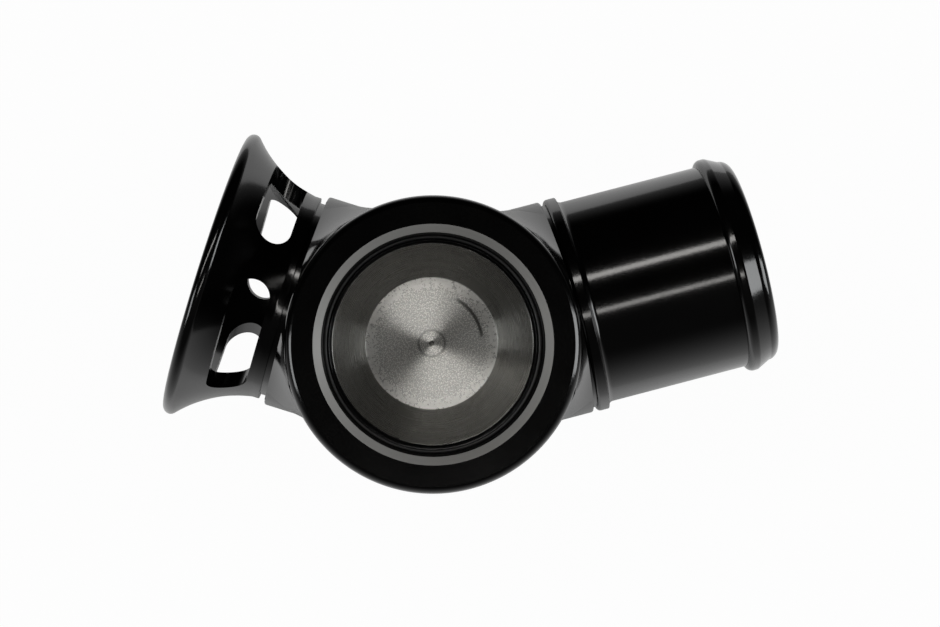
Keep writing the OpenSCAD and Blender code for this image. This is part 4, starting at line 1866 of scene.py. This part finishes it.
@dataclass
class Cap(SubAssembly):
    """The cap on the spring side, with its screws. Sizes are in millimetres, and places from the inlet face.

    Attributes:
        cap_r: Its outer radius.
        chamfer: Chamfer of its edges.
        base: Place of the face that the valve stands on.
        joint: Place of the joint with the barrel.
        spigot_r: Radius of the spigot inside the barrel's bore.
        spigot_top: Place of the spigot's end.
        pocket_r: Radius of the spring's pocket.
        pocket: Place of the pocket's floor.
        groove_r: Radius of the O-ring groove's root.
        groove: Places of the groove's ends.
        ring_mean: Radius to the middle of the O-ring's section.
        ring_t: Diameter of that section.
        passage_r: Radius of the air passage from the nipple to the pocket.
        port_r: Radius of the nipple's hole.
        port_start: Inner end of that hole, from the valve's axis.
        port_face: Face that the nipple's washer lies on, from the valve's axis.
        spot_r: Radius of the spot that is cut for that face.
        screw_r: Radius of the screws.
        screw_top: Place of their tips.
        head_r: Radius of their heads.
        head_t: Height of their heads.
        head_seat: Place of the faces that the heads lie on.
        socket: Width across the flats of their sockets.
        socket_deep: Depth of their sockets.
        hole_r: Radius of their holes.
        sink_r: Radius of the bores for their heads.
    """

    cap_r: float = 26.2
    chamfer: float = 0.7
    base: float = -80.3
    joint: float = -69.8
    spigot_r: float = 19.0
    spigot_top: float = -65.8
    pocket_r: float = 12.9
    pocket: float = -71.3
    groove_r: float = 17.49
    groove: tuple[float, float] = (-68.65, -66.95)
    ring_mean: float = 18.27
    ring_t: float = 1.5
    passage_r: float = 1.6
    port_r: float = 3.05
    port_start: float = 18.2
    port_face: float = 25.4
    spot_r: float = 5.8
    screw_r: float = 1.5
    screw_top: float = -65.0
    head_r: float = 2.625
    head_t: float = 3.0
    head_seat: float = -77.0
    socket: float = 2.25
    socket_deep: float = 1.5
    hole_r: float = 1.7
    sink_r: float = 2.825

    def body(self) -> bpy.types.Object:
        """Turns the cap and drills it.

        Returns:
            The cap.
        """
        axis = self.layout.valve_axis()
        low, high = self.groove
        knots = [
            Knot(0, self.base),
            Knot(self.cap_r - self.chamfer, self.base, Edge.BROKEN),
            Knot(self.cap_r, self.base + self.chamfer, Edge.BROKEN),
            Knot(self.cap_r, self.joint - self.chamfer, Edge.BROKEN),
            Knot(self.cap_r - self.chamfer, self.joint, Edge.CRISP),
            Knot(self.spigot_r, self.joint),
            Knot(self.spigot_r, low),
            Knot(self.groove_r, low),
            Knot(self.groove_r, high),
            Knot(self.spigot_r, high),
            Knot(self.spigot_r, self.spigot_top, Edge.EASY),
            Knot(self.pocket_r, self.spigot_top, Edge.SOFT),
            Knot(self.pocket_r, self.pocket),
            Knot(0, self.pocket),
        ]
        cap = turned("cap_turned", eased(knots), axis)
        side = self.layout.nipple_axis()
        depth = -self.layout.nipple_depth / MM
        tools = [
            rod(self.passage_r, depth, self.pocket + PAST, axis),
            rod(self.passage_r, -2 * PAST, self.port_face + PAST, side),
            rod(self.port_r, self.port_start, self.port_face + PAST, side),
            rod(self.spot_r, self.port_face, self.cap_r + 2 * PAST, side),
        ]
        for place in self.layout.screw_axes():
            tools.append(rod(self.hole_r, self.base - PAST, self.joint + PAST, place))
            tools.append(rod(self.sink_r, self.base - PAST, self.head_seat, place))
        for tool in tools:
            cap = carve(cap, tool, Cut.TAKE)
        return polish(cap)

    def screw(self) -> bpy.types.Object:
        """Makes one cap screw.

        Returns:
            The screw, about the valve's axis.
        """
        axis = self.layout.valve_axis()
        foot = self.head_seat - self.head_t
        knots = [
            Knot(0, foot),
            Knot(self.head_r, foot, Edge.EASY),
            Knot(self.head_r, self.head_seat, Edge.CRISP),
            Knot(self.screw_r, self.head_seat),
            Knot(self.screw_r, self.screw_top, Edge.EASY),
            Knot(0, self.screw_top),
        ]
        screw = turned("screw", eased(knots), axis, DRILL_ROUND)
        return carve(screw, hexagon(self.socket, foot - PAST, foot + self.socket_deep, axis), Cut.TAKE)

    def build(self, black: bpy.types.Material, steel: bpy.types.Material, rubber: bpy.types.Material) -> None:
        """Builds and dresses the cap, its O-ring and its screws.

        Args:
            black: Finish of the cap.
            steel: Finish of the screws.
            rubber: Finish of the O-ring.
        """
        self.dress(self.body(), (black,), Slot.BLACK, stands_for="cap")
        at = sum(self.groove) / 2
        self.o_ring("cap_o_ring", self.ring_mean, self.ring_t, at, self.layout.valve_axis(), rubber)
        screw = self.screw()
        recipe = Recipe("cap_screw_set")
        count = recipe.size("Screws", self.layout.screws)
        radius = recipe.size("Circle Radius", self.layout.screw_circle)
        screws = polish(recipe.grow(recipe.ring_of(screw, count, radius), steel))
        bpy.data.objects.remove(screw)
        self.dress(screws, (steel,), Slot.SCREW, stands_for="cap_screws")


@dataclass
class Nipple(SubAssembly):
    """The vacuum nipple and its washer. Sizes are in millimetres, and places from the valve's axis.

    Attributes:
        thread_r: Radius of its screwed end.
        thread_start: Place of that end.
        seat: Place of the hexagon's face on the washer.
        flats: Width across the hexagon's flats.
        hex_t: Thickness of the hexagon.
        hex_chamfer: Chamfer of the hexagon's corners.
        hex_room: How far the chamfering tool clears the corners between its chamfers.
        stem_r: Radius of the stem.
        tip: Place of the stem's end.
        bead: Place of the bead's middle.
        bead_r: Radius of the bead's rounds.
        bead_land: Width of the land on the bead.
        bore_r: Radius of its bore.
        washer_in: Radius of the washer's hole.
        washer_out: Outer radius of the washer.
        washer_t: Thickness of the washer.
        facets: Facets round its turned pieces.
    """

    thread_r: float = 3.0
    thread_start: float = 18.4
    seat: float = 26.4
    flats: float = 9.0
    hex_t: float = 4.0
    hex_chamfer: float = 0.5
    hex_room: float = 0.1
    stem_r: float = 2.5
    tip: float = 44.4
    bead: float = 43.1
    bead_r: float = 0.5
    bead_land: float = 0.6
    bore_r: float = 1.2
    washer_in: float = 3.05
    washer_out: float = 4.5
    washer_t: float = 1.0
    facets: int = 96

    def nut(self, axis: Spindle) -> bpy.types.Object:
        """Makes the hexagon with its turned chamfers.

        Args:
            axis: The nipple's axis.

        Returns:
            The hexagon.
        """
        top = self.seat + self.hex_t
        corner = self.flats / math.sqrt(3)
        dome = [
            Knot(0, self.seat),
            Knot(corner - self.hex_chamfer, self.seat),
            Knot(corner + self.hex_room, self.seat + self.hex_chamfer),
            Knot(corner + self.hex_room, top - self.hex_chamfer),
            Knot(corner - self.hex_chamfer, top),
            Knot(0, top),
        ]
        nut = hexagon(self.flats, self.seat, top, axis)
        return carve(nut, turned("dome", eased(dome), axis, self.facets), Cut.KEEP)

    def stem(self, axis: Spindle) -> bpy.types.Object:
        """Turns the screwed end and the stem with its bead.

        Args:
            axis: The nipple's axis.

        Returns:
            Both in one, still without their bore.
        """
        half = self.bead_land / 2
        knots = [
            Knot(0, self.thread_start),
            Knot(self.thread_r, self.thread_start, Edge.BLUNT),
            Knot(self.thread_r, self.seat + PAST),
            Knot(self.stem_r, self.seat + PAST),
            *arc(Vector((self.stem_r, self.bead - half)), self.bead_r, -90, 0, 8),
            *arc(Vector((self.stem_r, self.bead + half)), self.bead_r, 0, 90, 8),
            Knot(self.stem_r, self.tip, Edge.BROKEN),
            Knot(0, self.tip),
        ]
        return turned("stem", eased(knots), axis, self.facets)

    def build(self, brass: bpy.types.Material, copper: bpy.types.Material) -> None:
        """Builds and dresses the nipple and its washer.

        Args:
            brass: Finish of the nipple.
            copper: Finish of the washer.
        """
        axis = self.layout.nipple_axis()
        nipple = carve(self.nut(axis), self.stem(axis), Cut.JOIN)
        nipple = carve(nipple, rod(self.bore_r, self.thread_start - PAST, self.tip + PAST, axis), Cut.TAKE)
        nipple.name = "vacuum_nipple_turned"
        self.dress(polish(nipple), (brass,), Slot.BRASS, stands_for="vacuum_nipple")
        outline = band(self.washer_in, self.washer_out, self.seat - self.washer_t, self.seat, Edge.CLEAN)
        washer = polish(turned("nipple_washer_turned", outline, axis, self.facets))
        self.dress(washer, (copper,), Slot.COPPER, stands_for="nipple_washer")


@dataclass(frozen=True)
class View:
    """The camera of the photo, as three turns of the part before it.

    Attributes:
        turns: Turns about the picture's x, y and z, in degrees.
        shift: Shift of the part in the picture, in metres.
        distance: Distance from the camera to the inlet face's plane.
        focal: Focal length in pixels of a picture of that width.
        width: Width of the picture in pixels.
        sensor: Width of the camera's sensor, in millimetres.
    """

    turns: tuple[float, float, float] = (0.188, 1.717, 14.597)
    shift: tuple[float, float] = (-6.392 * MM, -5.451 * MM)
    distance: float = 504.219 * MM
    focal: float = 2885.65
    width: float = 940.0
    sensor: float = 36.0

    def place(self, layout: Layout) -> None:
        """Makes the camera.

        Args:
            layout: Places of the valve, for the height of its inlet face.
        """
        x, y, z = (math.radians(t) for t in self.turns)
        turn = Matrix.Rotation(x, 3, "X") @ Matrix.Rotation(y, 3, "Y") @ Matrix.Rotation(z, 3, "Z")
        to_part = turn.transposed()
        data = bpy.data.cameras.new("photo_camera")
        data.sensor_width = self.sensor
        data.lens = self.focal / self.width * self.sensor
        data.clip_end = 10.0
        camera = bpy.data.objects.new("photo_camera", data)
        bpy.context.scene.collection.objects.link(camera)
        eye = to_part @ Vector((-self.shift[0], -self.shift[1], self.distance)) + UP * layout.inlet
        camera.matrix_world = Matrix.Translation(eye) @ to_part.to_4x4()
        bpy.context.scene.camera = camera

    def upward(self) -> Vector:
        """Returns the picture's upward direction, level in the part's frame."""
        turn = math.radians(self.turns[2])
        return Vector((math.sin(turn), math.cos(turn), 0))


@dataclass(frozen=True)
class Lamp:
    """A flat lamp over the valve.

    Attributes:
        name: Its name.
        place: Its place, counted from the inlet mouth.
        size: Its length, which is level, and its width.
        radiance: Brightness of its window, where 1 is white.
        colour: Its colour.
        way: How it hangs.
    """

    name: str
    place: tuple[float, float, float]
    size: tuple[float, float]
    radiance: float
    colour: Colour
    way: Hang = Hang.FACING

    def hang(self, aim: Vector) -> None:
        """Makes the lamp.

        Args:
            aim: The middle of the inlet mouth.
        """
        length, width = self.size
        data = bpy.data.lights.new(self.name, "AREA")
        data.shape = "RECTANGLE"
        data.size = length
        data.size_y = width
        data.energy = self.radiance * math.pi * length * width
        data.color = self.colour
        lamp = bpy.data.objects.new(self.name, data)
        bpy.context.scene.collection.objects.link(lamp)
        back = Vector(self.place)
        along = back.cross(UP).normalized()
        if self.way is Hang.ALONG:
            back.x = 0.0
            along = TAIL_WAY
        back.normalize()
        turn = Matrix((along, back.cross(along), back)).transposed().to_4x4()
        lamp.matrix_world = Matrix.Translation(aim + Vector(self.place)) @ turn


@dataclass(frozen=True)
class Studio:
    """A white floor under the valve, lamps over it and a room that is dark above and paler in front.

    Attributes:
        floor_r: Radius of the floor.
        lamps: The lamps.
        front: Brightness of the room's front, low and high.
        front_rise: Upward shares of a direction between which the front goes from low to high.
        back: Brightness of the room's back near the floor.
        back_rise: Upward shares of a direction between which the back goes dark.
        turn: Shares of a direction towards the picture's top between which the front gives way to the back.
        glow: Share of the floor that is plain white to the camera, where the rest shows its shadow.
        mirrored: Distances from the valve's axis between which the floor turns white in reflections.
    """

    floor_r: float = 0.125
    lamps: tuple[Lamp, ...] = (
        Lamp("strip_behind", (-0.245, 0.405, 0.80), (0.96, 0.085), 8.7, (1.0, 0.98, 0.95), Hang.ALONG),
        Lamp("strip_front", (0.0, -0.202, 0.88), (0.40, 0.067), 6.8, (1.0, 0.98, 0.95), Hang.ALONG),
        Lamp("window_left", (-0.782, 0.091, 0.436), (0.32, 0.29), 5.6, (0.97, 0.99, 1.0)),
        Lamp("window_right", (0.818, -0.213, 0.308), (0.38, 0.48), 6.2, (0.97, 0.99, 1.0)),
    )
    front: tuple[float, float] = (0.92, 0.04)
    front_rise: tuple[float, float] = (-0.7, 0.5)
    back: float = 0.48
    back_rise: tuple[float, float] = (-0.9, -0.1)
    turn: tuple[float, float] = (-0.35, 0.15)
    glow: float = 0.97
    mirrored: tuple[float, float] = (0.03, 0.1)

    def build(self, layout: Layout, view: View) -> None:
        """Makes the floor, the lamps and the room.

        Args:
            layout: Places of the valve.
            view: The camera's view.
        """
        shape = bmesh.new()
        bmesh.ops.create_circle(shape, cap_ends=True, segments=96, radius=self.floor_r)
        floor = from_bmesh("floor", shape)
        floor.data.materials.append(self.floor_material())
        for lamp in self.lamps:
            lamp.hang(UP * layout.inlet)
        self.room(view)

    def floor_material(self) -> bpy.types.Material:
        """Makes the floor white to the camera, with a light shadow.

        Returns:
            The material.
        """
        made, bench = new_material("floor_white")
        light = bench.add("ShaderNodeLightPath")
        lit = bench.add("ShaderNodeBsdfDiffuse", None, {"Color": (0.9, 0.9, 0.9, 1)}).out()
        glow = bench.add("ShaderNodeEmission", None, {"Color": (1, 1, 1, 1), "Strength": 1.0}).out()
        away = bench.vector("LENGTH", bench.place()).out("Value").ramp(*self.mirrored)
        seen = light.out("Is Camera Ray") * self.glow + light.out("Is Glossy Ray") * away
        mixed = bench.add("ShaderNodeMixShader", None, {0: seen, 1: lit, 2: glow}).out()
        bench.add("ShaderNodeOutputMaterial", None, {"Surface": mixed})
        return made

    def room(self, view: View) -> None:
        """Lights the room: white to the camera; to all else paler in front and dark above and behind.

        Args:
            view: The camera's view.
        """
        world = bpy.data.worlds.new("room")
        world.use_nodes = True
        bpy.context.scene.world = world
        bench = Bench(world.node_tree)
        way = bench.add("ShaderNodeTexCoord").out("Generated")
        rise = bench.add("ShaderNodeSeparateXYZ", None, {0: way}).out("Z")
        behind = bench.vector("DOT_PRODUCT", way, view.upward()).out("Value").ramp(*self.turn)
        low, high = self.front
        front = (1.0 - rise.ramp(*self.front_rise)) * (low - high) + high
        back = (1.0 - rise.ramp(*self.back_rise)) * self.back
        glow = behind * back + (1.0 - behind) * front
        camera = bench.add("ShaderNodeLightPath").out("Is Camera Ray")
        sky = {"Color": (1, 1, 1, 1), "Strength": camera + (1.0 - camera) * glow}
        surface = bench.add("ShaderNodeBackground", None, sky).out()
        bench.add("ShaderNodeOutputWorld", None, {"Surface": surface})


def main() -> None:
    """Builds the scene."""
    logging.basicConfig(level=logging.INFO, format="%(name)s: %(message)s")
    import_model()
    layout = Layout(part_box("valve_body")[1].z)
    view = View()
    view.place(layout)
    Studio().build(layout, view)
    barrel, tail, trumpet, piston = Barrel(layout), HoseTail(layout), Trumpet(layout), Piston(layout)
    spring, cap, nipple = Spring(layout), Cap(layout), Nipple(layout)
    finish = Finishes(layout, piston.floor_r * MM)
    barrel.build(finish.barrel, finish.chamfer, finish.rubber)
    tail.build(finish.tail, finish.rubber)
    trumpet.build(finish.trumpet, finish.rubber)
    piston.build(finish.piston, finish.disc, finish.slipper, finish.rubber)
    spring.build(finish.spring)
    cap.build(finish.barrel, finish.screws, finish.rubber)
    nipple.build(finish.brass, finish.copper)
    for part in (barrel, tail, trumpet, piston, spring, cap, nipple):
        for piece in part.pieces:
            LOG.info("%s: %s, %d faces", type(part).__name__, piece.name, len(piece.data.polygons))
    bpy.context.scene.view_settings.view_transform = "Standard"


if __name__ == "__main__":
    main()
